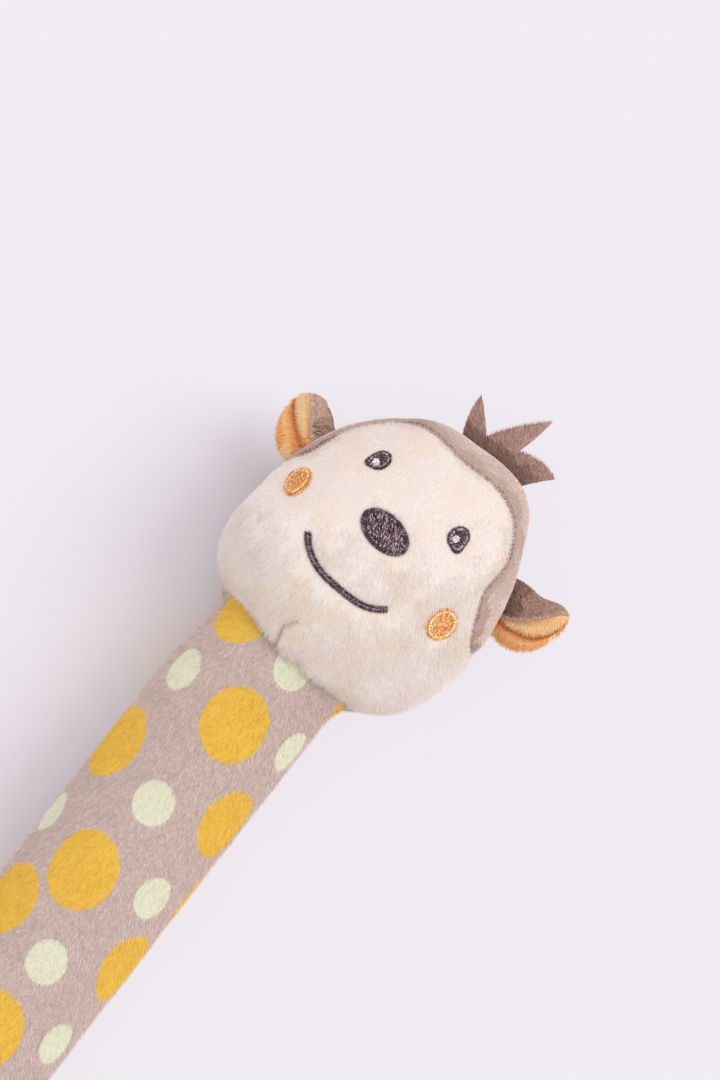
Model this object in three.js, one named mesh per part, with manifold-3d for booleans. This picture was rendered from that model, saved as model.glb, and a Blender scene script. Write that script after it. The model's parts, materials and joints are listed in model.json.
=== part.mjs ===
// A baby's plush squeeze toy: a monkey-like head with cupped ears and a cloth tuft, sewn on a stuffed tube.
// It lies on its back. +Z points up out of the face, +Y runs from the tube's far end to the crown.
// Lengths are in millimetres and angles in degrees. Head pieces are made in the head's own frame,
// whose origin is the neck's pivot, with x to the toy's left, y towards the crown and z out of the face.

import * as THREE from "three";
import { mergeVertices } from "three/addons/utils/BufferGeometryUtils.js";
import Module from "manifold-3d";

const wasm = await Module();
wasm.setup();

// Driving sizes of the cloth and of the seams
const COVER = 1.3; // pile cloth with its backing
const GAP = 0.3; // between neighbouring pieces
const SOCKET_GAP = 0.5; // between the tube's round top and the head that turns on it
const THREAD = 0.8; // how thick the embroidery lies
const FLOOR_FLAT = 0.5; // how deep the underside is pressed flat

// Driving sizes of the tube
const TUBE_DIAMETER = 45;
const TUBE_LENGTH = 178; // from the neck seam to the crown of the end
const TUBE_END_DEPTH = 9; // how far the stuffed end bulges
const TUBE_END_POWER = 3; // how square the end's edge is
const END_SEAM_INSET = 3.5; // how far inside the tube's side the end panel's seam lies
const NECK_HOLE_DIAMETER = 18; // opening in the top of the tube, inside the head
const CUP_EDGE_DROP = 9; // how far below the pivot the tube's stuffing stops at its sides

// Driving sizes of the squeaker
const BULB_DIAMETER = 26;
const BULB_LENGTH = 44;
const BULB_WALL = 0.8;
const BULB_BELOW_PIVOT = 80; // the bulb's middle
const REED_DIAMETER = 8;
const REED_LENGTH = 7;
const REED_FLANGE_DIAMETER = 11;
const REED_FLANGE = 1.2;

// Driving sizes of the head
const HEAD_WIDTH = 75;
const HEAD_DEPTH = 57;
const HEAD_HEIGHT = 80.3; // from the neck seam to the crown
const NECK_RIM_ABOVE_PIVOT = 8.4;
const HEAD_WIDEST_ABOVE_RIM = 30.3;
const HEAD_LEAN = 7.2; // the head leans to its own left on the tube
const HEAD_SHIFT = 1; // the widest line's middle, to the side of the pivot
const CROWN_SKEW = 7.5; // the crown's extra shift to the same side
const CROWN_SKEW_POWER = 8;
const CROWN_POWER = 2.1; // how square the outline is above the cheeks
const CHEEK_POWER = 2.4; // and below them
const SECTION_POWER = 2.25; // how square a level section is

// Driving size of the neck seam
const SEAM_CORD_DIAMETER = 0.8;

// Driving sizes of the ears
const EAR_LENGTH = 17.9;
const EAR_WIDTH = 17;
const EAR_THICKNESS = 9.6; // at its fullest
const EAR_ROOT_THICKNESS = 4.4; // where it is pinched into the seam
const EAR_LAYER_GAP = 0.6; // between its two cloths
const EARS = {
  ear_right: { side: -1, height: 0.59, sweep: -40 },
  ear_left: { side: 1, height: 0.645, sweep: 6 },
};

// Driving sizes of the tuft
const TUFT_WIDTH = 20.8;
const TUFT_HEIGHT = 19.5;
const TUFT_THICKNESS = 2.2;
const TUFT_ACROSS = 2.1; // its root's middle, to the side of the widest line's middle
const TUFT_LEAN = -4.7; // its root's turn in the face plane

// Driving sizes of the embroidery
const NOSE_WIDTH = 16;
const NOSE_HEIGHT = 10;
const EYE_WIDTHS = { eye_right: 5, eye_left: 5.8 };
const EYE_HEIGHTS = { eye_right: 6.1, eye_left: 6.6 };
const EYE_POINT = 0.35; // how far the outer lower corner is drawn out, as a share of the eye
const EYE_POINT_POWER = 6; // how narrow that corner is
const GLINT_DIAMETER = 2;
const GLINT_OFF_CENTRE = 0.6;
const CHEEK_WIDTHS = { cheek_right: 5.5, cheek_left: 7.8 };
const CHEEK_HEIGHTS = { cheek_right: 9.1, cheek_left: 10 };
const MOUTH_STROKE = 1.7;
const MOUTH_END_SHARE = 0.5; // how wide the stroke's ends are left

// Places on the face: across in half head widths from its middle, up in head heights from the neck seam.
const NOSE_AT = [-0.109, 0.553];
const EYES_AT = { eye_right: [-0.493, 0.712], eye_left: [0.325, 0.718] };
const CHEEKS_AT = { cheek_right: [-0.811, 0.463], cheek_left: [0.672, 0.467] };
const MOUTH_LINE = [
  [-0.509, 0.371],
  [-0.331, 0.319],
  [-0.109, 0.309],
  [0.075, 0.315],
  [0.309, 0.367],
];
// The seam between the face panel and the hood, closed outside the outline below the cheeks
const FACE_SEAM = [
  [1.14, 0.41],
  [0.939, 0.488],
  [0.813, 0.578],
  [0.723, 0.664],
  [0.704, 0.763],
  [0.592, 0.853],
  [0.443, 0.912],
  [0.213, 0.934],
  [-0.107, 0.915],
  [-0.405, 0.908],
  [-0.65, 0.83],
  [-0.848, 0.687],
  [-0.936, 0.55],
  [-1.14, 0.47],
  [-1.25, 0.15],
  [-0.8, -0.2],
  [0.8, -0.2],
  [1.25, 0.15],
];

// Where that seam turns round the side to the head's side seam, up in head heights, and how far in front of
// the head's middle it stays above there
const SEAM_TURNS_AT = { right: 0.535, left: 0.465 };
const SEAM_STAYS_IN_FRONT = 2.5;

// The tuft: points in shares of its width and height from its root's middle
const TUFT_OUTLINE = {
  start: [-0.5, 0],
  curves: [
    { via: [-0.68, 0.35], to: [-0.67, 0.64] },
    { via: [-0.42, 0.42], to: [-0.26, 0.23] },
    { via: [-0.15, 0.55], to: [0.28, 1] },
    { via: [0.26, 0.65], to: [0.19, 0.38] },
    { via: [0.55, 0.53], to: [0.8, 0.41] },
    { via: [0.62, 0.2], to: [0.5, 0] },
  ],
};

// The ear's rails: how high each line runs, in shares of the ear's width, at shares of its length
const EAR_STATIONS = [0, 0.17, 0.34, 0.5, 0.67, 0.84, 0.95];
const EAR_TOP = [0.58, 0.55, 0.53, 0.53, 0.54, 0.55, 0.46];
const EAR_RIM = [-0.11, -0.05, 0.02, 0.11, 0.21, 0.36, 0.4];
const EAR_CREASE = [-0.16, -0.18, -0.18, -0.16, -0.11, 0.02, 0.16];
const EAR_BOTTOM = [-0.43, -0.49, -0.49, -0.44, -0.33, -0.13, 0.1];
const EAR_FULLNESS = [0.46, 0.82, 1, 1, 0.9, 0.66, 0.36]; // in shares of its thickness
const EAR_TIP = 0.31; // the tip's height, in shares of the width
const EAR_TIP_SHARE = 0.55; // how wide the tip's last section is left
const EAR_TIP_FLAT = 0.5; // and how thick

// The ear's section between its rails: how far along it is, and how high in shares of its half thickness
const EAR_FOLD = { along: 0.55, high: 0.9 }; // from the rim to the top
const EAR_BEHIND_TOP = { along: 0.66, high: -0.92 }; // from the bottom to the top
const EAR_BEHIND_BOTTOM = { along: 0.3, high: -0.9 };
const EAR_LOWER_LOBE = { along: 0.4, high: 0.62 }; // from the bottom to the crease
const EAR_UPPER_LOBE = { along: 0.45, high: 0.7 }; // from the crease to the rim
const EAR_CREASE_HIGH = 0.12;
const EAR_COVER_SHARE = 0.3; // the most that its cloth takes of its half thickness
const EAR_LAYER_SHARE = 0.25; // and the most that the gap between its cloths takes
const EAR_ROOT_ROUNDING = [-0.94, -0.6]; // sections that round its root, in shares of the root's radius

// How finely the round shapes are divided
const HEAD_COLUMNS = 36;
const HEAD_ROWS_BELOW = 8;
const HEAD_ROWS_ABOVE = 10;
const TUBE_SIDES = 32;
const INNER_SIDES = 20; // of what is hidden in the tube
const CURVE_STEPS = 6;
const EAR_ROUND_STEPS = 11;
const EAR_FRONT_STEPS = 9;
const SEAM_STEPS = 72;
const PATCH_STEPS = 24; // round a nose, an eye or a cheek
const GLINT_STEPS = 14;
const CORD_SIDES = 6;
const CORD_STEPS = 48;
const EDGE_SIDES = 16; // of the tuft's round root edge
const SIDE_SEAM_STEPS = 200;

// Sizes that follow from the driving ones
const tubeRadius = TUBE_DIAMETER / 2;
const pivotAboveFloor = tubeRadius - FLOOR_FLAT;
const socketRadius = tubeRadius + SOCKET_GAP;
const neckRimRadius = Math.sqrt(tubeRadius ** 2 - NECK_RIM_ABOVE_PIVOT ** 2);
const halfHeadWidth = HEAD_WIDTH / 2;
const halfHeadDepth = HEAD_DEPTH / 2;
const headRise = halfHeadDepth - tubeRadius; // the back of the head lies level with the tube's
const widestLevel = NECK_RIM_ABOVE_PIVOT + HEAD_WIDEST_ABOVE_RIM;
const crownLevel = NECK_RIM_ABOVE_PIVOT + HEAD_HEIGHT;
const tubeEnd = NECK_RIM_ABOVE_PIVOT - TUBE_LENGTH;
const stuffingRadius = tubeRadius - COVER - GAP;
const far = 4 * (HEAD_HEIGHT + TUBE_LENGTH); // larger than the toy, for cutting tools

// Colours of the cloths, threads and plastics
const CLOTHS = {
  cream: { color: 0xeee2da, roughness: 0.92, metalness: 0 },
  taupe: { color: 0xcdb0a5, roughness: 0.92, metalness: 0 },
  printed: { color: 0xc5aea6, roughness: 0.92, metalness: 0 },
  ear_back: { color: 0x99756a, roughness: 0.92, metalness: 0 },
  apricot: { color: 0xe0a46a, roughness: 0.9, metalness: 0 },
  tuft: { color: 0x9a7a6e, roughness: 0.95, metalness: 0 },
  plum: { color: 0x5f4c52, roughness: 0.6, metalness: 0 },
  white: { color: 0xe3dce2, roughness: 0.6, metalness: 0 },
  orange: { color: 0xeaa45e, roughness: 0.55, metalness: 0 },
  stuffing: { color: 0xf4f3ef, roughness: 0.95, metalness: 0 },
  bulb: { color: 0xe9eef0, roughness: 0.45, metalness: 0 },
  reed: { color: 0x3f6fb5, roughness: 0.4, metalness: 0 },
  cord: { color: 0xb49c92, roughness: 0.85, metalness: 0 },
};

const toy = new THREE.Group();
const tube = new THREE.Group();
const head = new THREE.Group();
head.rotation.z = THREE.MathUtils.degToRad(-HEAD_LEAN);
toy.add(tube, head);

// Adds one named piece to a group.
function piece(group, name, geometry, cloth) {
  const mesh = new THREE.Mesh(geometry, new THREE.MeshStandardMaterial(CLOTHS[cloth]));
  mesh.name = name;
  group.add(mesh);
  return mesh;
}

// A closed geometry as a solid that can be joined and cut.
function solidOf(geometry) {
  const bare = geometry.index ? geometry.toNonIndexed() : geometry.clone();
  bare.deleteAttribute("normal");
  bare.deleteAttribute("uv");
  const merged = mergeVertices(bare, 1e-4);
  const vertProperties = merged.attributes.position.array;
  const triVerts = new Uint32Array(merged.index.array);
  return new wasm.Manifold(new wasm.Mesh({ numProp: 3, vertProperties, triVerts }));
}

// The largest body of a cut solid, as a geometry. Crumbs that a cut leaves at a seam's end are dropped.
function geometryOf(solid) {
  const bodies = solid.decompose().sort((a, b) => b.volume() - a.volume());
  const mesh = bodies[0].getMesh();
  const geometry = new THREE.BufferGeometry();
  geometry.setAttribute("position", new THREE.BufferAttribute(mesh.vertProperties, 3));
  geometry.setIndex(new THREE.BufferAttribute(mesh.triVerts, 1));
  geometry.computeVertexNormals();
  return geometry;
}

function boxSolid(low, high) {
  const box = new THREE.BoxGeometry(high[0] - low[0], high[1] - low[1], high[2] - low[2]);
  box.translate((low[0] + high[0]) / 2, (low[1] + high[1]) / 2, (low[2] + high[2]) / 2);
  return solidOf(box);
}

// Everything in front of a level z, and everything behind one
const inFrontOf = (z) => boxSolid([-far, -far, z], [far, far, far]);
const behind = (z) => boxSolid([-far, -far, -far], [far, far, z]);
const aboveFloor = inFrontOf(-pivotAboveFloor);

// A prism along z over a closed outline
function prismSolid(outline, low, high) {
  const shape = new THREE.Shape(outline);
  const prism = new THREE.ExtrudeGeometry(shape, { depth: high - low, bevelEnabled: false });
  prism.translate(0, 0, low);
  return solidOf(prism);
}

function sphereSolid(radius, columns, rows) {
  return solidOf(new THREE.SphereGeometry(radius, columns, rows));
}

// A solid turned about the y axis from a profile in either order
function latheSolid(profile, sides) {
  const upwards = THREE.ShapeUtils.area(profile) > 0 ? profile : [...profile].reverse();
  return solidOf(new THREE.LatheGeometry(upwards, sides));
}

// A signed power keeps a superellipse's quadrant.
const bend = (value, power) => Math.sign(value) * Math.abs(value) ** power;

const mix = (a, b, share) => a + (b - a) * share;

// What is left of a full half size at a share of the way to the closed end
const closing = (share, power) => Math.max(0, 1 - share ** power) ** (1 / power);

// A half size below the cheeks, which draws in from its full value to the neck rim's
function drawIn(full, rim, power, share) {
  const rimShare = (1 - (rim / full) ** power) ** (1 / power);
  return full * closing(rimShare * share, power);
}

// The head's level section: its middle, half width, front and back
function headSection(level) {
  const span = halfHeadDepth;
  if (level >= widestLevel) {
    const share = (level - widestLevel) / (crownLevel - widestLevel);
    const left = closing(share, CROWN_POWER);
    const middle = HEAD_SHIFT + CROWN_SKEW * share ** CROWN_SKEW_POWER;
    return {
      middle,
      halfWidth: halfHeadWidth * left,
      front: headRise + span * left,
      back: headRise - span * left,
      power: SECTION_POWER,
    };
  }
  const share = (widestLevel - level) / HEAD_WIDEST_ABOVE_RIM;
  return {
    middle: HEAD_SHIFT * (1 - share),
    halfWidth: drawIn(halfHeadWidth, neckRimRadius, CHEEK_POWER, share),
    front: drawIn(headRise + span, neckRimRadius, CHEEK_POWER, share),
    back: -drawIn(span - headRise, neckRimRadius, CHEEK_POWER, share),
    power: mix(SECTION_POWER, 2, share),
  };
}

function headPoint(level, turn) {
  const section = headSection(level);
  const power = 2 / section.power;
  const middleZ = (section.front + section.back) / 2;
  const halfDepth = (section.front - section.back) / 2;
  const x = section.middle + section.halfWidth * bend(Math.cos(turn), power);
  const z = middleZ + halfDepth * bend(Math.sin(turn), power);
  return new THREE.Vector3(x, level, z);
}

// The head's levels from just inside the neck rim to just under the crown, closer where it curves more
function headLevels(rowsBelow, rowsAbove) {
  const levels = [];
  const lowest = NECK_RIM_ABOVE_PIVOT - 2 * GAP;
  for (let i = 0; i < rowsBelow; i++) {
    const share = 1 - Math.sin((Math.PI / 2) * (1 - i / rowsBelow));
    levels.push(mix(lowest, widestLevel, share));
  }
  for (let i = 0; i < rowsAbove; i++) {
    const share = Math.sin(((Math.PI / 2) * i) / rowsAbove);
    levels.push(mix(widestLevel, crownLevel, share));
  }
  return levels;
}

// The closed surface of the head as rings of points, with a point at each end
function headSurface(columns, rowsBelow, rowsAbove) {
  const levels = headLevels(rowsBelow, rowsAbove);
  const positions = [];
  const index = [];
  for (const level of levels) {
    for (let j = 0; j < columns; j++) {
      const p = headPoint(level, (2 * Math.PI * j) / columns);
      positions.push(p.x, p.y, p.z);
    }
  }
  const foot = positions.length / 3;
  positions.push(0, levels[0], 0);
  const crown = foot + 1;
  positions.push(HEAD_SHIFT + CROWN_SKEW, crownLevel, headRise);
  const last = (levels.length - 1) * columns;
  for (let j = 0; j < columns; j++) {
    const next = (j + 1) % columns;
    index.push(foot, j, next);
    for (let i = 0; i < levels.length - 1; i++) {
      const a = i * columns;
      const b = a + columns;
      index.push(a + j, b + j, b + next, a + j, b + next, a + next);
    }
    index.push(last + j, crown, last + next);
  }
  const geometry = new THREE.BufferGeometry();
  geometry.setAttribute("position", new THREE.Float32BufferAttribute(positions, 3));
  geometry.setIndex(index);
  geometry.computeVertexNormals();
  return geometry;
}

const skin = headSurface(HEAD_COLUMNS, HEAD_ROWS_BELOW, HEAD_ROWS_ABOVE);
const roughSkin = headSurface(HEAD_COLUMNS / 2, HEAD_ROWS_BELOW / 2, HEAD_ROWS_ABOVE / 2);

// A head surface moved out along its normals, or in by a negative distance
function headSolid(out, surface = skin) {
  const moved = surface.clone();
  const place = moved.attributes.position;
  const normal = moved.attributes.normal;
  for (let i = 0; i < place.count; i++) {
    const p = new THREE.Vector3().fromBufferAttribute(place, i);
    const n = new THREE.Vector3().fromBufferAttribute(normal, i);
    p.addScaledVector(n, out);
    place.setXYZ(i, p.x, p.y, p.z);
  }
  return solidOf(moved);
}

// A place on the face, from its shares of the head's width and height
function onFace([across, up]) {
  const x = HEAD_SHIFT + across * halfHeadWidth;
  const y = NECK_RIM_ABOVE_PIVOT + up * HEAD_HEIGHT;
  return new THREE.Vector2(x, y);
}

// A closed outline moved outwards in its plane
function widened(outline, distance) {
  const turn = THREE.ShapeUtils.isClockWise(outline) ? -1 : 1;
  return outline.map((point, i) => {
    const before = outline[(i + outline.length - 1) % outline.length];
    const after = outline[(i + 1) % outline.length];
    const along = new THREE.Vector2().subVectors(after, before).normalize();
    return new THREE.Vector2(point.x + turn * along.y * distance, point.y - turn * along.x * distance);
  });
}

function smoothLoop(points, steps) {
  const through = points.map((p) => new THREE.Vector3(p.x, p.y, 0));
  const curve = new THREE.CatmullRomCurve3(through, true, "centripetal");
  return curve.getPoints(steps).slice(0, -1).map((p) => new THREE.Vector2(p.x, p.y));
}

// The space inside the face panel's seam, grown by a clearance
function faceSpace(seam, grow) {
  const prism = prismSolid(widened(seam, grow), -far, far);
  const front = inFrontOf(headRise + SEAM_STAYS_IN_FRONT - grow);
  const rightTurn = onFace([0, SEAM_TURNS_AT.right]).y + grow;
  const leftTurn = onFace([0, SEAM_TURNS_AT.left]).y + grow;
  const rightSide = boxSolid([-far, -far, -far], [HEAD_SHIFT, rightTurn, far]);
  const leftSide = boxSolid([HEAD_SHIFT, -far, -far], [far, leftTurn, far]);
  return prism.intersect(front.add(rightSide).add(leftSide));
}

// The head's covers: a cream face, a hood round it, and a back in two halves with a seam down its middle
function makeHeadCovers() {
  const socket = sphereSolid(socketRadius, HEAD_COLUMNS, HEAD_COLUMNS / 2);
  const shell = headSolid(0).subtract(headSolid(-COVER)).subtract(socket).intersect(aboveFloor);
  const front = shell.intersect(inFrontOf(GAP / 2));
  const rear = shell.intersect(behind(-GAP / 2));
  const seam = smoothLoop(FACE_SEAM.map(onFace), SEAM_STEPS);
  piece(head, "face_panel", geometryOf(front.intersect(faceSpace(seam, 0))), "cream");
  piece(head, "hood_band", geometryOf(front.subtract(faceSpace(seam, GAP))), "taupe");
  const leftHalf = boxSolid([HEAD_SHIFT + GAP / 2, -far, -far], [far, far, far]);
  const rightHalf = boxSolid([-far, -far, -far], [HEAD_SHIFT - GAP / 2, far, far]);
  piece(head, "head_back_left", geometryOf(rear.intersect(leftHalf)), "taupe");
  piece(head, "head_back_right", geometryOf(rear.intersect(rightHalf)), "taupe");
  const stuffing = headSolid(-COVER - GAP, roughSkin).subtract(socket);
  piece(head, "head_filling", geometryOf(stuffing), "stuffing");
}

// A layer of thread on the face, inside an outline
function patch(name, outline, thread, above) {
  const layer = headSolid(above + THREAD).subtract(headSolid(above));
  const prism = prismSolid(outline, headRise, far);
  piece(head, name, geometryOf(layer.intersect(prism)), thread);
}

function ellipse(centre, width, height, steps) {
  const outline = [];
  for (let i = 0; i < steps; i++) {
    const turn = (2 * Math.PI * i) / steps;
    const x = centre.x + (width / 2) * Math.cos(turn);
    const y = centre.y + (height / 2) * Math.sin(turn);
    outline.push(new THREE.Vector2(x, y));
  }
  return outline;
}

// An eye: an ellipse whose outer lower corner is drawn out to a point
function eyeOutline(centre, width, height, cornerSide) {
  return ellipse(centre, width, height, PATCH_STEPS).map((p) => {
    const dx = (p.x - centre.x) / (width / 2);
    const dy = (p.y - centre.y) / (height / 2);
    const towards = Math.max(0, (cornerSide * dx - dy) / Math.SQRT2);
    const reach = 1 + EYE_POINT * towards ** EYE_POINT_POWER;
    return new THREE.Vector2(centre.x + (p.x - centre.x) * reach, centre.y + (p.y - centre.y) * reach);
  });
}

// A stroke of even width with round ends along a smooth line
function strokeOutline(points, width) {
  const through = points.map((p) => new THREE.Vector3(p.x, p.y, 0));
  const curve = new THREE.CatmullRomCurve3(through, false, "centripetal");
  const steps = 2 * CURVE_STEPS;
  const above = [];
  const below = [];
  for (let i = 0; i <= steps; i++) {
    const at = curve.getPointAt(i / steps);
    const along = curve.getTangentAt(i / steps);
    const half = (width / 2) * (i === 0 || i === steps ? MOUTH_END_SHARE : 1);
    above.push(new THREE.Vector2(at.x - along.y * half, at.y + along.x * half));
    below.push(new THREE.Vector2(at.x + along.y * half, at.y - along.x * half));
  }
  return [...above, ...below.reverse()];
}

function makeFeatures() {
  patch("nose", ellipse(onFace(NOSE_AT), NOSE_WIDTH, NOSE_HEIGHT, PATCH_STEPS), "plum", GAP);
  patch("mouth", strokeOutline(MOUTH_LINE.map(onFace), MOUTH_STROKE), "plum", GAP);
  for (const [name, at] of Object.entries(EYES_AT)) {
    const centre = onFace(at);
    const cornerSide = Math.sign(at[0]);
    patch(name, eyeOutline(centre, EYE_WIDTHS[name], EYE_HEIGHTS[name], cornerSide), "plum", GAP);
    const glint = new THREE.Vector2(centre.x - GLINT_OFF_CENTRE, centre.y - GLINT_OFF_CENTRE);
    const outline = ellipse(glint, GLINT_DIAMETER, GLINT_DIAMETER, GLINT_STEPS);
    patch(name + "_glint", outline, "white", 2 * GAP + THREAD);
  }
  for (const [name, at] of Object.entries(CHEEKS_AT)) {
    const outline = ellipse(onFace(at), CHEEK_WIDTHS[name], CHEEK_HEIGHTS[name], PATCH_STEPS);
    patch(name, outline, "orange", GAP);
  }
}

// A closed body through sections that all have the same number of points
function loft(given) {
  const flat = (section) => section.map((p) => new THREE.Vector2(p.y, p.z));
  const turned = THREE.ShapeUtils.isClockWise(flat(given[0]));
  const sections = turned ? given.map((section) => [...section].reverse()) : given;
  const count = sections[0].length;
  const positions = sections.flat().flatMap((p) => [p.x, p.y, p.z]);
  const index = [];
  for (let i = 0; i < sections.length - 1; i++) {
    for (let j = 0; j < count; j++) {
      const next = (j + 1) % count;
      const a = i * count;
      const b = a + count;
      index.push(a + j, b + next, b + j, a + j, a + next, b + next);
    }
  }
  const last = (sections.length - 1) * count;
  for (const [a, b, c] of THREE.ShapeUtils.triangulateShape(flat(sections[0]), [])) {
    index.push(a, c, b);
  }
  for (const [a, b, c] of THREE.ShapeUtils.triangulateShape(flat(sections.at(-1)), [])) {
    index.push(last + a, last + b, last + c);
  }
  const geometry = new THREE.BufferGeometry();
  geometry.setAttribute("position", new THREE.Float32BufferAttribute(positions, 3));
  geometry.setIndex(index);
  geometry.computeVertexNormals();
  return geometry;
}

// A value along a rail, between the stations that it is given at
function railAt(rail, share) {
  const last = EAR_STATIONS.length - 1;
  let i = 0;
  while (i < last - 1 && EAR_STATIONS[i + 1] < share) i++;
  const part = (share - EAR_STATIONS[i]) / (EAR_STATIONS[i + 1] - EAR_STATIONS[i]);
  return mix(rail[i], rail[i + 1], THREE.MathUtils.clamp(part, 0, 1));
}

// An open smooth line through points of a section
function smoothLine(points, steps) {
  const through = points.map(([v, w]) => new THREE.Vector3(v, w, 0));
  return new THREE.CatmullRomCurve3(through, false, "centripetal").getPoints(steps);
}

// Points of a section moved towards its middle
function drawnIn(points, middle, distance) {
  return points.map(([v, w]) => {
    const share = distance / Math.hypot(v - middle, w);
    return [mix(v, middle, share), mix(w, 0, share)];
  });
}

// The ear's section at a share of its length: the back cloth from the folded-over rim, over the top and
// round behind to the bottom, and the lining in front of it, with a crease between two lobes.
function earSection(share) {
  const top = railAt(EAR_TOP, share) * EAR_WIDTH;
  const rim = railAt(EAR_RIM, share) * EAR_WIDTH;
  const crease = railAt(EAR_CREASE, share) * EAR_WIDTH;
  const bottom = railAt(EAR_BOTTOM, share) * EAR_WIDTH;
  const full = (railAt(EAR_FULLNESS, share) * EAR_THICKNESS) / 2;
  const between = (from, to, at) => [mix(from, to, at.along), at.high * full];
  const outside = [
    [rim, full],
    between(rim, top, EAR_FOLD),
    [top, 0],
    between(bottom, top, EAR_BEHIND_TOP),
    between(bottom, top, EAR_BEHIND_BOTTOM),
    [bottom, 0],
  ];
  const middle = (bottom + top) / 2;
  const cover = Math.min(COVER, EAR_COVER_SHARE * full);
  const backLine = smoothLine(outside, EAR_ROUND_STEPS);
  const inside = smoothLine(drawnIn(outside, middle, cover), EAR_ROUND_STEPS);
  const liningEdge = drawnIn(outside, middle, cover + Math.min(EAR_LAYER_GAP, EAR_LAYER_SHARE * full));
  const liningBack = smoothLine(liningEdge, EAR_ROUND_STEPS);
  const lobes = smoothLine(
    [
      liningEdge.at(-1),
      between(bottom, crease, EAR_LOWER_LOBE),
      [crease, EAR_CREASE_HIGH * full],
      between(crease, rim, EAR_UPPER_LOBE),
      liningEdge[0],
    ],
    EAR_FRONT_STEPS,
  );
  return {
    back: [...backLine, ...inside.reverse()],
    lining: [...liningBack, ...lobes.slice(1, -1)],
  };
}

// The ear's two bodies in the ear's frame: x outwards from its root, y along the root, z to the front
function earBodies() {
  const rootRadius = EAR_ROOT_THICKNESS / 2;
  const stations = [];
  for (const part of EAR_ROOT_ROUNDING) {
    stations.push({ x: part * rootRadius, share: 0, flat: Math.sqrt(1 - part * part), drawn: 1 });
  }
  for (const share of EAR_STATIONS) {
    stations.push({ x: share * EAR_LENGTH, share, flat: 1, drawn: 1 });
  }
  const end = EAR_STATIONS.at(-1);
  stations.push({ x: EAR_LENGTH, share: end, flat: EAR_TIP_FLAT, drawn: EAR_TIP_SHARE });
  const placed = (line, at) =>
    line.map((p) => {
      const y = mix(EAR_TIP * EAR_WIDTH, p.x, at.drawn);
      return new THREE.Vector3(at.x, y, p.y * at.flat);
    });
  const back = [];
  const lining = [];
  for (const at of stations) {
    const section = earSection(at.share);
    back.push(placed(section.back, at));
    lining.push(placed(section.lining, at));
  }
  return { back: loft(back), lining: loft(lining) };
}

// The head's outline in the plane of the side seam, as points
function seamOutline() {
  const outline = [];
  for (let i = 0; i <= SIDE_SEAM_STEPS; i++) {
    const level = mix(NECK_RIM_ABOVE_PIVOT, crownLevel, i / SIDE_SEAM_STEPS);
    const section = headSection(level);
    const middleZ = (section.front + section.back) / 2;
    const halfDepth = Math.max(1e-6, (section.front - section.back) / 2);
    const reach = closing(Math.min(1, Math.abs(middleZ) / halfDepth), section.power);
    outline.push(new THREE.Vector2(section.middle + section.halfWidth * reach, level));
    outline.push(new THREE.Vector2(section.middle - section.halfWidth * reach, level));
  }
  return outline;
}

const sideSeam = seamOutline();

// The place of a root that clears the head: its middle is pushed outwards along a direction until a line
// of its length stays one root radius and a gap off the outline.
function seatedRoot(middle, outward, length, radius) {
  const along = new THREE.Vector2(-outward.y, outward.x);
  let highest = -Infinity;
  for (const point of sideSeam) {
    const off = new THREE.Vector2().subVectors(point, middle);
    if (Math.abs(off.dot(along)) <= length / 2) highest = Math.max(highest, off.dot(outward));
  }
  return new THREE.Vector2().copy(middle).addScaledVector(outward, highest + radius + GAP);
}

// The outline's point and outward direction on one side at a share of the head's height
function outlineAt(side, share) {
  const level = NECK_RIM_ABOVE_PIVOT + share * HEAD_HEIGHT;
  const edge = (y) => {
    const near = sideSeam.filter((p) => Math.sign(p.x - HEAD_SHIFT) === side);
    return near.reduce((a, b) => (Math.abs(b.y - y) < Math.abs(a.y - y) ? b : a));
  };
  const half = EAR_WIDTH / 2;
  const along = new THREE.Vector2().subVectors(edge(level + half), edge(level - half)).normalize();
  return { point: edge(level), outward: new THREE.Vector2(side * along.y, -side * along.x) };
}

function makeEars() {
  for (const [name, ear] of Object.entries(EARS)) {
    const { point, outward } = outlineAt(ear.side, ear.height);
    const root = seatedRoot(point, outward, EAR_WIDTH, EAR_ROOT_THICKNESS / 2);
    const holder = new THREE.Group();
    holder.name = name + "_root";
    holder.position.set(root.x, root.y, 0);
    holder.rotation.z = Math.atan2(outward.y, outward.x) + (ear.side < 0 ? Math.PI : 0);
    const swept = new THREE.Group();
    swept.rotation.y = THREE.MathUtils.degToRad(-ear.side * ear.sweep);
    holder.add(swept);
    head.add(holder);
    const bodies = earBodies();
    for (const [part, cloth] of [["back", "ear_back"], ["lining", "apricot"]]) {
      const geometry = bodies[part];
      if (ear.side < 0) {
        geometry.scale(-1, 1, 1);
        geometry.index.array.reverse();
      }
      piece(swept, name + "_" + part, geometry, cloth);
    }
  }
}

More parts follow.
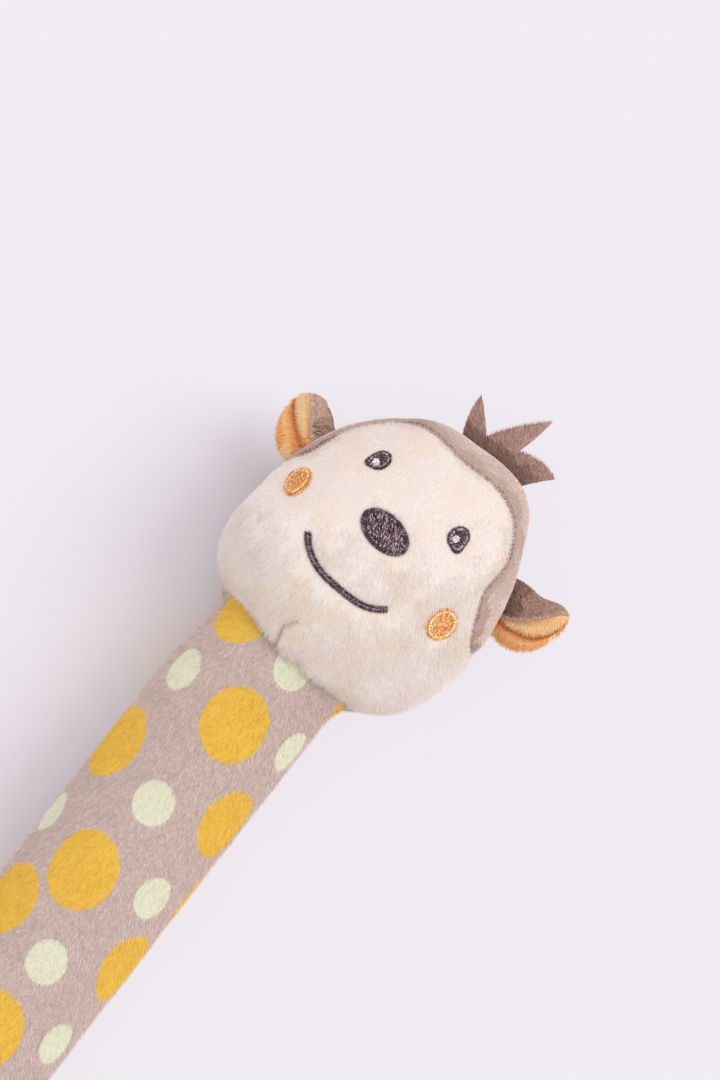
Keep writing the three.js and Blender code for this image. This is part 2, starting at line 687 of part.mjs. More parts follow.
// The tuft: a flat three-pointed cloth with a round root edge
function makeTuft() {
  const lean = THREE.MathUtils.degToRad(-TUFT_LEAN);
  const outward = new THREE.Vector2(-Math.sin(lean), Math.cos(lean));
  const middle = new THREE.Vector2(HEAD_SHIFT + TUFT_ACROSS, crownLevel);
  const root = seatedRoot(middle, outward, TUFT_WIDTH, TUFT_THICKNESS / 2);
  const holder = new THREE.Group();
  holder.name = "tuft_root";
  holder.position.set(root.x, root.y, 0);
  holder.rotation.z = lean;
  head.add(holder);
  const at = ([x, y]) => [x * TUFT_WIDTH, y * TUFT_HEIGHT];
  const shape = new THREE.Shape();
  shape.moveTo(...at(TUFT_OUTLINE.start));
  for (const { via, to } of TUFT_OUTLINE.curves) {
    shape.quadraticCurveTo(...at(via), ...at(to));
  }
  const outline = new THREE.ExtrudeGeometry(shape, {
    depth: TUFT_THICKNESS,
    bevelEnabled: false,
    curveSegments: CURVE_STEPS,
  });
  outline.translate(0, 0, -TUFT_THICKNESS / 2);
  const edgeRadius = TUFT_THICKNESS / 2;
  const edge = new THREE.CylinderGeometry(edgeRadius, edgeRadius, TUFT_WIDTH, EDGE_SIDES);
  edge.rotateZ(Math.PI / 2);
  piece(holder, "hair_tuft", geometryOf(solidOf(outline).add(solidOf(edge))), "tuft");
}

// A profile moved inwards, towards the axis side, by its own normals
function insideOf(profile, distance) {
  return profile.map((point, i) => {
    const before = profile[Math.max(0, i - 1)];
    const after = profile[Math.min(profile.length - 1, i + 1)];
    const along = new THREE.Vector2().subVectors(after, before).normalize();
    return new THREE.Vector2(point.x + along.y * distance, point.y - along.x * distance);
  });
}

// The stuffed end's profile between two radii, bulging away from the tube
function endProfile(fromRadius, toRadius, steps) {
  const profile = [];
  for (let i = 0; i <= steps; i++) {
    const radius = mix(fromRadius, toRadius, Math.sin(((Math.PI / 2) * i) / steps));
    const share = radius / tubeRadius;
    const depth = TUBE_END_DEPTH * Math.sqrt(Math.max(0, 1 - share ** TUBE_END_POWER));
    profile.push(new THREE.Vector2(radius, tubeEnd + TUBE_END_DEPTH - depth));
  }
  return profile;
}

// Round bands of points from the axis side outwards, as a closed profile
function bandProfile(outer, thickness) {
  return [...outer, ...insideOf(outer, thickness).reverse(), outer[0].clone()];
}

function makeTubeCover() {
  const outer = [];
  const holeTurn = Math.acos(NECK_HOLE_DIAMETER / TUBE_DIAMETER);
  for (let i = 0; i <= CURVE_STEPS; i++) {
    const turn = mix(holeTurn, 0, i / CURVE_STEPS);
    outer.push(new THREE.Vector2(tubeRadius * Math.cos(turn), tubeRadius * Math.sin(turn)));
  }
  const panelRadius = tubeRadius - END_SEAM_INSET;
  outer.push(...endProfile(tubeRadius, panelRadius, CURVE_STEPS));
  const sleeve = latheSolid(bandProfile(outer, COVER), TUBE_SIDES).intersect(aboveFloor);
  piece(tube, "body_sleeve", geometryOf(sleeve), "printed");
  const disc = endProfile(panelRadius - GAP, 0, CURVE_STEPS);
  const inner = insideOf(disc, COVER);
  inner.at(-1).x = 0;
  piece(tube, "body_end_panel", geometryOf(latheSolid([...disc.reverse(), ...inner], TUBE_SIDES)), "taupe");
}

// Half of a round-ended bulb's profile, from its side to its pole, grown by a clearance
function bulbProfile(grow, pole) {
  const radius = BULB_DIAMETER / 2 + grow;
  const half = BULB_LENGTH / 2 + grow;
  const profile = [];
  for (let i = 0; i <= CURVE_STEPS; i++) {
    const turn = ((Math.PI / 2) * i) / CURVE_STEPS;
    const y = -BULB_BELOW_PIVOT + pole * (half - radius + radius * Math.sin(turn));
    profile.push(new THREE.Vector2(radius * Math.cos(turn), y));
  }
  profile.at(-1).x = 0;
  return profile;
}

function makeSqueaker() {
  const outer = [...bulbProfile(0, -1).reverse(), ...bulbProfile(0, 1)];
  const inner = [...bulbProfile(-BULB_WALL, -1).reverse(), ...bulbProfile(-BULB_WALL, 1)];
  const mouthRadius = REED_DIAMETER / 2 + GAP;
  const mouth = new THREE.CylinderGeometry(mouthRadius, mouthRadius, BULB_DIAMETER, INNER_SIDES);
  const bulbTop = BULB_LENGTH / 2 - BULB_BELOW_PIVOT;
  mouth.translate(0, bulbTop, 0);
  const shell = latheSolid(outer, INNER_SIDES).subtract(latheSolid(inner, INNER_SIDES));
  const bulb = shell.subtract(solidOf(mouth));
  piece(tube, "squeaker_bulb", geometryOf(bulb), "bulb");
  const flangeSeat = bulbTop + GAP;
  const reed = [
    [0, flangeSeat + REED_FLANGE - REED_LENGTH],
    [REED_DIAMETER / 2, flangeSeat + REED_FLANGE - REED_LENGTH],
    [REED_DIAMETER / 2, flangeSeat],
    [REED_FLANGE_DIAMETER / 2, flangeSeat],
    [REED_FLANGE_DIAMETER / 2, flangeSeat + REED_FLANGE],
    [0, flangeSeat + REED_FLANGE],
  ].map(([x, y]) => new THREE.Vector2(x, y));
  piece(tube, "squeaker_reed", geometryOf(latheSolid(reed, INNER_SIDES)), "reed");
}

// The stuffing of the tube in two halves round the squeaker, under a ball of stuffing in the neck
function makeTubeStuffing() {
  const split = -BULB_BELOW_PIVOT;
  const bulbRoom = latheSolid([...bulbProfile(GAP, -1).reverse(), ...bulbProfile(GAP, 1)], INNER_SIDES);
  const flangeRadius = REED_FLANGE_DIAMETER / 2 + GAP;
  const flangeTop = split + BULB_LENGTH / 2 + 2 * GAP + REED_FLANGE;
  const flangeRoom = new THREE.CylinderGeometry(flangeRadius, flangeRadius, REED_LENGTH, INNER_SIDES);
  flangeRoom.translate(0, flangeTop - REED_LENGTH / 2, 0);
  const neckRoom = sphereSolid(stuffingRadius + GAP, 2 * INNER_SIDES, INNER_SIDES);
  const upperProfile = [
    new THREE.Vector2(0, split + GAP / 2),
    new THREE.Vector2(stuffingRadius, split + GAP / 2),
    new THREE.Vector2(stuffingRadius, -CUP_EDGE_DROP),
    new THREE.Vector2(0, -CUP_EDGE_DROP),
  ];
  const upper = latheSolid(upperProfile, INNER_SIDES);
  const upperBody = upper.subtract(neckRoom).subtract(bulbRoom).subtract(solidOf(flangeRoom));
  piece(tube, "body_filling_upper", geometryOf(upperBody), "stuffing");
  const sides = new THREE.Vector2(tubeRadius, split - GAP / 2);
  const lowerProfile = insideOf([sides, ...endProfile(tubeRadius, 0, 2 * CURVE_STEPS)], COVER + GAP);
  lowerProfile.at(-1).x = 0;
  lowerProfile.unshift(new THREE.Vector2(0, split - GAP / 2));
  const lower = latheSolid(lowerProfile, INNER_SIDES).subtract(bulbRoom);
  piece(tube, "body_filling_lower", geometryOf(lower), "stuffing");
}

// The neck: a ball of stuffing in the tube's round top, and the cord just under the rim that it draws in
function makeNeck() {
  const ball = new THREE.SphereGeometry(stuffingRadius, INNER_SIDES, INNER_SIDES / 2);
  piece(head, "neck_filling", ball, "stuffing");
  const cordRadius = SEAM_CORD_DIAMETER / 2;
  const reach = socketRadius + cordRadius;
  const rimUp = Math.asin(NECK_RIM_ABOVE_PIVOT / tubeRadius);
  const up = rimUp - (cordRadius + GAP) / reach;
  const cord = new THREE.TorusGeometry(reach * Math.cos(up), cordRadius, CORD_SIDES, CORD_STEPS);
  cord.rotateX(Math.PI / 2);
  cord.translate(0, reach * Math.sin(up), 0);
  piece(head, "neck_seam", geometryOf(solidOf(cord).intersect(aboveFloor)), "cord");
}

makeHeadCovers();
makeFeatures();
makeEars();
makeTuft();
makeTubeCover();
makeSqueaker();
makeTubeStuffing();
makeNeck();

// The toy is set down with the middle of its underside on the origin.
toy.updateMatrixWorld(true);
const box = new THREE.Box3().setFromObject(toy, true);
toy.position.set(-(box.min.x + box.max.x) / 2, -(box.min.y + box.max.y) / 2, -box.min.z);

export default toy;
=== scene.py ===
"""A baby's plush squeeze toy that lies on its back: an animal's head with cupped ears and a tuft of cloth,
sewn on a stuffed tube of dotted pile cloth. Lengths are in millimetres until a piece is put in the row's
frame, which is in metres."""

import json
import math

import bpy
import numpy as np
from mathutils import Matrix, Vector, noise
from mathutils.geometry import delaunay_2d_cdt, tessellate_polygon


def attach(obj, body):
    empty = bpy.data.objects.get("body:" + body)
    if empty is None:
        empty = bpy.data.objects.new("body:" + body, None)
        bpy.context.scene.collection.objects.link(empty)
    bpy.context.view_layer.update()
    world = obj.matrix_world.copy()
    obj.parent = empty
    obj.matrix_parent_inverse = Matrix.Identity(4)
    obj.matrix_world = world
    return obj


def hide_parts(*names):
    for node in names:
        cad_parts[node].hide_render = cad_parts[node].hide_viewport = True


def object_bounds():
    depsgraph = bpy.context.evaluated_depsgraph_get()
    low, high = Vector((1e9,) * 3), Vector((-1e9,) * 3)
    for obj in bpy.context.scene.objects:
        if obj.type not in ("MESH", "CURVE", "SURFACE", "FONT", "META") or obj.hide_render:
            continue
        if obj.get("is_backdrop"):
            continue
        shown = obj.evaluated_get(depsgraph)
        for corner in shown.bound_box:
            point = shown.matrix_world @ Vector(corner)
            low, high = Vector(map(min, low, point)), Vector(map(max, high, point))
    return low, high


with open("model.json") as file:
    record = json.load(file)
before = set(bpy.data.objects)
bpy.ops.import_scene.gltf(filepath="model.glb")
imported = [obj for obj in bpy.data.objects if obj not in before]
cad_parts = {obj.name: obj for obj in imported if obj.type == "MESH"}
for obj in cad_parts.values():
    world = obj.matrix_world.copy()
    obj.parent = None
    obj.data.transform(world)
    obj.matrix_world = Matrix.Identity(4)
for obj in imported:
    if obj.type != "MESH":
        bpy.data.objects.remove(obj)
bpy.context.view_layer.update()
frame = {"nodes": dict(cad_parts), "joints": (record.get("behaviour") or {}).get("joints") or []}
joints = {joint["name"]: joint for joint in frame["joints"]}
MM = 0.001

# The view: straight down on the toy with a long lens, because the tube shows no taper in the photograph. The
# tube comes in from the picture's lower left, and the head lies a little above the picture's middle.
VIEW_MIDDLE = Vector((-10.45, 77.7, 22.0)) * MM
VIEW_RIGHT = Vector((0.7898, 0.6134, 0.0))
VIEW_UP = Vector((-0.6134, 0.7898, 0.0))
VIEW_HEIGHT = 298.9 * MM  # what the picture takes in at the tube's axis
LENS_LENGTH = 500.0
SENSOR = 36.0

lens = bpy.data.cameras.new("camera")
lens.lens = LENS_LENGTH
lens.sensor_width = SENSOR
camera = bpy.data.objects.new("camera", lens)
view_distance = VIEW_HEIGHT * LENS_LENGTH / SENSOR
view_back = VIEW_RIGHT.cross(VIEW_UP)
turned = Matrix((VIEW_RIGHT, VIEW_UP, view_back)).transposed().to_4x4()
camera.matrix_world = Matrix.Translation(VIEW_MIDDLE + view_back * view_distance) @ turned
lens.clip_start = 0.01
lens.clip_end = 100.0
bpy.context.scene.collection.objects.link(camera)
bpy.context.scene.camera = camera

# The tube's sleeve: one piece of short pile cloth, printed with yellow and pale green dots, rolled into a
# tube and stuffed. Its top is drawn in to a dome that sits in the head, and its far end turns in to a panel.
TUBE_RADIUS = 22.5
NECK_RIM = 8.4  # the head's rim, above the neck's pivot
TUBE_END = NECK_RIM - 178.0
END_DEPTH = 9.0
END_POWER = 3.0
END_PANEL_RADIUS = 19.0
NECK_HOLE_RADIUS = 9.0
CLOTH_THICKNESS = 1.2
CLOTH_STEP = 1.0  # between the points of a modelled cloth
SEAM_GAP = 0.3
FLOOR = -22.0  # under the pivot
# Folds at the neck as degrees round the tube, place along it, spread in degrees, length, and height
NECK_FOLDS = [(275, 2.0, 52, 7.0, -1.5), (270, 13.5, 32, 3.2, 2.4), (88, 9.0, 34, 4.2, 3.6)]
PRESS_SOFTNESS = 0.16
PRINT_STEP = 0.2768  # one step of the print's plan
PRINT_RADIUS = 82.0  # the tube's radius in those steps
# Dots as degrees round the tube from its front, steps along it, and width and height in steps
YELLOW_DOTS = [
    (-43.0, 217, 80, 88), (8.9, 114, 70, 79), (-60.8, 29.5, 74, 83), (55.8, 29.5, 68, 77),
    (-13.3, -92, 72, 84), (-48.7, -160, 70, 80), (65.3, -147, 70, 78), (3.0, -276, 72, 84),
    (102.0, -55, 70, 80), (93.0, 212, 70, 80),
]
MINT_DOTS = [
    (18.0, 195, 42, 48), (-50.2, 126.5, 42, 47), (63.6, 126, 42, 46), (-2.5, 3, 43, 47), (42.0, -73, 42, 46),
    (-74.6, -66, 42, 46), (6.9, -187, 42, 47), (55.7, -247, 42, 46),
]
DOT_TURN = math.radians(14.0)  # how far a dot's long axis leans
PILE_DRAG = 3.4  # steps by which the leaning pile carries the print along
FAR = -1000.0  # as far outside a dot as counts
FIBRE_ROLL = 0.35  # how unevenly the fibres turn about their length
FIBRE_ROOT = 0.12  # the share of a fibre that is under the cloth's surface
EVERY_WAY = ((-1, -1, -1), (1, 1, 1))
TINT_PATCHES = 110.0  # on a metre
LEAST_TINT = -9.0
TAUPE_PRINT = (227, 207, 200)
YELLOW_PRINT = (255, 212, 92)
MINT_PRINT = (247, 246, 224)


class Cloth:
    """A piece of cloth by its outer side: points in metres, triangles, and named values at each point."""

    def __init__(self, points, triangles, values=None):
        self.points = np.asarray(points, float)
        self.triangles = np.asarray(triangles, int)
        self.values = dict(values or {})

    def normals(self):
        a, b, c = (self.points[self.triangles[:, i]] for i in range(3))
        face = np.cross(b - a, c - a)
        total = np.zeros_like(self.points)
        for i in range(3):
            np.add.at(total, self.triangles[:, i], face)
        return total / np.maximum(np.linalg.norm(total, axis=1, keepdims=True), 1e-15)

    def moved(self, distance):
        """The cloth with each point moved along its normal."""
        points = self.points + self.normals() * np.asarray(distance).reshape(-1, 1)
        return Cloth(points, self.triangles, self.values)

    def cut(self, side):
        """The part of the cloth where side, a number at each point, is above zero, with a smooth edge."""
        side = np.asarray(side, float)
        columns = [self.points] + [value.reshape(len(value), -1) for value in self.values.values()]
        table = np.column_stack(columns)
        inside = side > 0
        count = inside[self.triangles].sum(1)
        kept = [tuple(t) for t in self.triangles[count == 3]]
        rows = list(table)
        made = {}
        for triangle in self.triangles[(count == 1) | (count == 2)]:
            ring = []
            for i, j in zip(triangle, np.roll(triangle, -1)):
                if inside[i]:
                    ring.append(i)
                if inside[i] != inside[j]:
                    key = (min(i, j), max(i, j))
                    if key not in made:
                        made[key] = len(rows)
                        rows.append(table[i] + side[i] / (side[i] - side[j]) * (table[j] - table[i]))
                    ring.append(made[key])
            kept += [(ring[0], ring[k], ring[k + 1]) for k in range(1, len(ring) - 1)]
        used, triangles = np.unique(np.array(kept), return_inverse=True)
        table = np.array(rows)[used]
        values, at = {}, 3
        for name, value in self.values.items():
            wide = value.reshape(len(value), -1).shape[1]
            values[name] = table[:, at] if value.ndim == 1 else table[:, at : at + wide]
            at += wide
        return Cloth(table[:, :3], triangles.reshape(-1, 3), values)

    def closed(self, thickness):
        """The cloth with its thickness: an outer and an inner side, joined round the edges."""
        inner = self.points - self.normals() * thickness
        values = {name: np.concatenate([value, value]) for name, value in self.values.items()}
        triangles = two_sided(self.triangles, len(self.points))
        return Cloth(np.concatenate([self.points, inner]), triangles, values)

    def piece(self, name, material=None, keep=()):
        """A mesh object of this cloth, with the values named in keep as attributes."""
        mesh = bpy.data.meshes.new(name)
        mesh.from_pydata(self.points.tolist(), [], self.triangles.tolist())
        for value_name in keep:
            value = self.values[value_name]
            kind, slot = ("FLOAT", "value") if value.ndim == 1 else ("FLOAT_VECTOR", "vector")
            attribute = mesh.attributes.new(value_name, kind, "POINT")
            attribute.data.foreach_set(slot, value.astype(np.float32).ravel())
        mesh.shade_smooth()
        if material:
            mesh.materials.append(material)
        made = bpy.data.objects.new(name, mesh)
        bpy.context.scene.collection.objects.link(made)
        return made


def two_sided(triangles, count):
    """Triangles of a cloth's outer side, of an inner side with as many more points, and round its edges."""
    edges = np.concatenate([triangles[:, [0, 1]], triangles[:, [1, 2]], triangles[:, [2, 0]]])
    key = edges.min(1) * count + edges.max(1)
    found, times = np.unique(key, return_counts=True)
    a, b = edges[np.isin(key, found[times == 1])].T
    walls = [np.column_stack([b, a, a + count]), np.column_stack([b, a + count, b + count])]
    return np.concatenate([triangles, triangles[:, ::-1] + count, *walls])


def grid_faces(rows, columns, flip=False, closed=True):
    """Triangles of a grid of points, whose rows close round or are open."""
    i, j = np.meshgrid(np.arange(rows - 1), np.arange(columns if closed else columns - 1), indexing="ij")
    a = (i * columns + j).ravel()
    b = (i * columns + (j + 1) % columns).ravel()
    halves = [np.column_stack([a, b, b + columns]), np.column_stack([a, b + columns, a + columns])]
    triangles = np.concatenate(halves)
    return triangles[:, ::-1] if flip else triangles


def round_cap(middle, ring):
    """Triangles from one point to each step of a ring of points."""
    return np.column_stack([ring, np.full(len(ring), middle), np.roll(ring, -1)])


def lumps(points, size, seed):
    """Smooth noise from about -1 to 1 at points in millimetres, in lumps of that size."""
    offset = Vector((seed * 17.3, seed * 5.1, seed * 9.7))
    return np.array([noise.noise(Vector(p) / size + offset) for p in points])


def evenly(line, step=1.0, count=None):
    """Points along a line at even distances: about a step apart, or as many as count."""
    line = np.asarray(line, float)
    along = np.concatenate([[0], np.cumsum(np.linalg.norm(np.diff(line, axis=0), axis=1))])
    at = np.linspace(0, along[-1], count or max(2, round(along[-1] / step)) + 1)
    return np.column_stack([np.interp(at, along, line[:, k]) for k in range(line.shape[1])])


def end_curve(start, stop):
    """The stuffed end's profile between two radii: (radius, y) points."""
    radius = start + (stop - start) * np.sin(np.linspace(0, math.pi / 2, 40))
    depth = END_DEPTH * np.sqrt(np.maximum(0, 1 - (radius / TUBE_RADIUS) ** END_POWER))
    return np.column_stack([radius, TUBE_END + END_DEPTH - depth])


def pressed(points):
    """Points, from the pivot, that the floor presses flat."""
    points = points.copy()
    points[:, 2] = FLOOR + PRESS_SOFTNESS * np.logaddexp(0, (points[:, 2] - FLOOR) / PRESS_SOFTNESS)
    return points


pivot = np.array(joints["neck_nod"]["pos_m"])
dome_turn = np.linspace(math.acos(NECK_HOLE_RADIUS / TUBE_RADIUS), 0, 30)
sleeve_dome = TUBE_RADIUS * np.column_stack([np.cos(dome_turn), np.sin(dome_turn)])
sleeve_profile = evenly(np.concatenate([sleeve_dome, end_curve(TUBE_RADIUS, END_PANEL_RADIUS)]), CLOTH_STEP)
sleeve_columns = round(2 * math.pi * TUBE_RADIUS / CLOTH_STEP)
sleeve_turn = np.linspace(0, 2 * math.pi, sleeve_columns, endpoint=False)


def turned_about_y(profile, turn):
    """Points of a profile turned about the tube's axis, by an angle from the front to the toy's left."""
    radius, y = (profile[:, k][:, None] * np.ones_like(turn)[None] for k in range(2))
    return np.stack([radius * np.sin(turn), y, radius * np.cos(turn)], axis=-1).reshape(-1, 3)


def dot_distance(dots, turn, along):
    """How far inside the nearest dot a place on the tube is, by its turn and its steps along it."""
    inside = np.full(len(turn), FAR)
    for degrees, middle, width, height in dots:
        off = (turn - math.radians(degrees) + math.pi) % (2 * math.pi) - math.pi
        across, up = off * PRINT_RADIUS, along - middle - PILE_DRAG
        a = across * math.cos(DOT_TURN) + up * math.sin(DOT_TURN)
        b = up * math.cos(DOT_TURN) - across * math.sin(DOT_TURN)
        reach = np.hypot(a / (width / 2), b / (height / 2))
        inside = np.maximum(inside, (1 - reach) * min(width, height) / 2 * PRINT_STEP)
    return inside


def apart(dots, degrees, along):
    """How many steps a place is from the nearest of these dots."""
    off = [((degrees - d[0] + 180) % 360 - 180) * math.radians(PRINT_RADIUS) for d in dots]
    return min(math.hypot(o, along - d[1]) for o, d in zip(off, dots))


def neck_folds(turn, along):
    """How far the gathers at the neck pull the tube in or let it out, by the turn and the place along it."""
    out = 0 * turn
    for degrees, middle, spread, length, height in NECK_FOLDS:
        off = (turn - math.radians(degrees) + math.pi) % (2 * math.pi) - math.pi
        out = out + height * np.exp(-((off / math.radians(spread)) ** 2) - ((along - middle) / length) ** 2)
    return out


def add_hidden_dots(dots, size, rows, columns, stagger, seen, seen_to, off_yellow, off_mint):
    """Out of the photograph the print goes on in the same stagger, where there is room for one more dot."""
    for row, along in enumerate(rows):
        for column in range(columns):
            degrees = column * 360.0 / columns + (stagger if row % 2 else 0.0) - 180.0
            hidden = abs(degrees) > seen or along < seen_to
            off = (apart(YELLOW_DOTS, degrees, along), apart(MINT_DOTS, degrees, along))
            if hidden and off[0] > off_yellow and off[1] > off_mint:
                dots.append((degrees, along, *size))


add_hidden_dots(YELLOW_DOTS, (71, 80), range(180, -450, -31), 12, 15.0, 116, -330, 104, 68)
add_hidden_dots(MINT_DOTS, (42, 46), range(200, -450, -17), 16, 11.0, 104, -300, 66, 92)

sleeve_points = turned_about_y(sleeve_profile, sleeve_turn)
sleeve_steps = (sleeve_points[:, 1] - NECK_RIM) / PRINT_STEP + 200
sleeve_angle = np.tile(sleeve_turn, len(sleeve_profile))
sleeve_radial = np.column_stack([sleeve_points[:, 0], 0 * sleeve_points[:, 1], sleeve_points[:, 2]])
sleeve_radial /= np.linalg.norm(sleeve_radial, axis=1, keepdims=True)
sleeve_relief = 0.35 * lumps(sleeve_points, 19.0, 1) + 0.14 * lumps(sleeve_points, 6.0, 2)
sleeve_relief *= np.clip((NECK_RIM - sleeve_points[:, 1]) / 12, 0, 1)
sleeve_relief += neck_folds(sleeve_angle, sleeve_points[:, 1])
end_edge = sleeve_points[:, 1] - end_curve(END_PANEL_RADIUS, END_PANEL_RADIUS + 1e-6)[0, 1]
sleeve_relief -= 0.7 * np.exp(-((end_edge / 1.3) ** 2))
sleeve_shape = pressed(sleeve_points + sleeve_radial * sleeve_relief[:, None])
sleeve = Cloth(
    pivot + sleeve_shape * MM,
    grid_faces(len(sleeve_profile), sleeve_columns, flip=True),
    {
        "yellow": dot_distance(YELLOW_DOTS, sleeve_angle, sleeve_steps),
        "mint": dot_distance(MINT_DOTS, sleeve_angle, sleeve_steps),
        "y": sleeve_points[:, 1],
        "comb": np.tile([0.12, -1.0, 0.0], (len(sleeve_points), 1)),
    },
)


class Wire:
    """A socket of a node tree, on which sums and products can be written."""

    def __init__(self, nodes, socket):
        self.nodes, self.socket = nodes, socket

    def maths(self, operation, first, second):
        return self.nodes.add("ShaderNodeMath", {"operation": operation}, {0: first, 1: second})

    def __add__(self, other):
        return self.maths("ADD", self, other)

    def __sub__(self, other):
        return self.maths("SUBTRACT", self, other)

    def __mul__(self, other):
        return self.maths("MULTIPLY", self, other)

    def __radd__(self, other):
        return self.maths("ADD", other, self)

    def __rsub__(self, other):
        return self.maths("SUBTRACT", other, self)

    def __rmul__(self, other):
        return self.maths("MULTIPLY", other, self)

    def output(self, name):
        """Another output of the same node."""
        return Wire(self.nodes, self.socket.node.outputs[name])


class Nodes:
    """Adds nodes to one tree."""

    def __init__(self, tree):
        self.tree = tree

    def add(self, kind, settings=None, values=None, output=0):
        """A node by its type, with its settings made first, and the values or wires of its sockets."""
        node = self.tree.nodes.new(kind)
        for name, value in (settings or {}).items():
            if name == "stops":
                for stop, (place, colour) in zip(node.color_ramp.elements, value):
                    stop.position, stop.color = place, colour
            else:
                setattr(node, name, value)
        shown = [socket for socket in node.inputs if socket.enabled]
        for key, value in (values or {}).items():
            socket = shown[key] if isinstance(key, int) else next(s for s in shown if s.name == key)
            if isinstance(value, Wire):
                self.tree.links.new(value.socket, socket)
            else:
                socket.default_value = value
        outputs = [socket for socket in node.outputs if socket.enabled]
        return Wire(self, outputs[output]) if outputs else node

    def vector(self, operation, first, second=None):
        values = {0: first}
        if second is not None:
            values["Scale" if operation == "SCALE" else 1] = second
        return self.add("ShaderNodeVectorMath", {"operation": operation}, values)

    def mixed(self, share, first, second):
        return self.add("ShaderNodeMix", {"data_type": "RGBA"}, {"Factor": share, "A": first, "B": second})

    def noise(self, size, detail=2.0, place=None, output="Fac"):
        """Noise of a size in millimetres on Object coordinates."""
        place = place or self.add("ShaderNodeTexCoord").output("Object")
        values = {"Vector": place, "Scale": 1 / (size * MM), "Detail": detail}
        return self.add("ShaderNodeTexNoise", {}, values).output(output)


def colour(red, green, blue, lighter=1.0):
    """A colour as it is read from a picture, for a shader, made lighter by a factor."""
    shares = [c / 255 for c in (red, green, blue)]
    linear = [c / 12.92 if c <= 0.04045 else ((c + 0.055) / 1.055) ** 2.4 for c in shares]
    return (*[min(1.0, c * lighter) for c in linear], 1.0)


def finish(name, base, roughness=0.9, sheen=0.0, specular=0.2):
    """A material of one base colour, and its nodes and shader for more detail."""
    material = bpy.data.materials.new(name)
    material.use_nodes = True
    shader = material.node_tree.nodes["Principled BSDF"]
    shader.inputs["Base Color"].default_value = base
    shader.inputs["Roughness"].default_value = roughness
    shader.inputs["Specular IOR Level"].default_value = specular
    shader.inputs["Sheen Weight"].default_value = sheen
    shader.inputs["Sheen Roughness"].default_value = 0.5
    return material, Nodes(material.node_tree), shader


def into(nodes, shader, name, wire):
    nodes.tree.links.new(wire.socket, shader.inputs[name])


def bumped(nodes, shader, height, strength, distance):
    """Gives a surface a fine relief that is that many millimetres high."""
    values = {"Strength": strength, "Distance": distance * MM, "Height": height}
    into(nodes, shader, "Normal", nodes.add("ShaderNodeBump", {}, values))


def pile_ground(name, base, deep_shade, grain=0.5):
    """The cloth under a pile: its colour varies in soft patches and fine grain towards a darker tone,
    painted shade between the fibres, and its surface is rough.
    """
    material, nodes, shader = finish(name, base, roughness=0.95, sheen=0.15)
    patches = nodes.noise(9.0, 3.0)
    fine = nodes.noise(grain, 2.0)
    into(nodes, shader, "Base Color", nodes.mixed(patches * 0.5 + fine * 0.4, base, deep_shade))
    bumped(nodes, shader, fine + 0.5 * patches, strength=0.6, distance=0.3)
    return material, nodes, shader


def tints(name, tone, steps=(0.86, 1.0, 1.14), sheen=0.0):
    """Pile fibres of one colour come in a darker, a middle and a lighter tint."""
    named = [(f"{name}_fibre_{k + 1}", colour(*tone, step)) for k, step in enumerate(steps)]
    return [finish(fibre, tint, roughness=0.85, sheen=sheen)[0] for fibre, tint in named]


def shape_nodes(name, numbers=()):
    """A tree that makes shapes, with sockets for these numbers and a seed, and the node they come from."""
    tree = bpy.data.node_groups.new(name, "GeometryNodeTree")
    tree.is_modifier = True
    tree.interface.new_socket("Geometry", in_out="INPUT", socket_type="NodeSocketGeometry")
    for socket in numbers:
        tree.interface.new_socket(socket, in_out="INPUT", socket_type="NodeSocketFloat")
    tree.interface.new_socket("Seed", in_out="INPUT", socket_type="NodeSocketInt")
    tree.interface.new_socket("Geometry", in_out="OUTPUT", socket_type="NodeSocketGeometry")
    nodes = Nodes(tree)
    return nodes, nodes.add("NodeGroupInput")


def stored(nodes, name, kind="FLOAT"):
    """A value that each point of a shape carries."""
    return nodes.add("GeometryNodeInputNamedAttribute", {"data_type": kind}, {"Name": name})


def set_on_points(nodes, values, tint):
    """Instances on points as plain meshes, each of which carries its tint."""
    made = nodes.add("GeometryNodeInstanceOnPoints", {}, values)
    settings = {"data_type": "FLOAT", "domain": "INSTANCE"}
    values = {"Geometry": made, "Name": "tint", "Value": tint}
    made = nodes.add("GeometryNodeStoreNamedAttribute", settings, values)
    return nodes.add("GeometryNodeRealizeInstances", {}, {"Geometry": made})


def exceeds(nodes, wire, limit):
    """Whether a number is above a limit."""
    return nodes.add("FunctionNodeCompare", {"operation": "GREATER_THAN"}, {"A": wire, "B": limit})


def tinted(nodes, made, looks, there=None):
    """A shape's parts in one of the looks each, by the tint that they carry, where there is true."""
    tint = stored(nodes, "tint")
    for k, look in enumerate(looks):
        over = exceeds(nodes, tint, k / len(looks) if k else LEAST_TINT)
        if there:
            over = nodes.add("FunctionNodeBooleanMath", {"operation": "AND"}, {0: over, 1: there})
        values = {"Geometry": made, "Selection": over, "Material": look}
        made = nodes.add("GeometryNodeSetMaterial", {}, values)
    return made


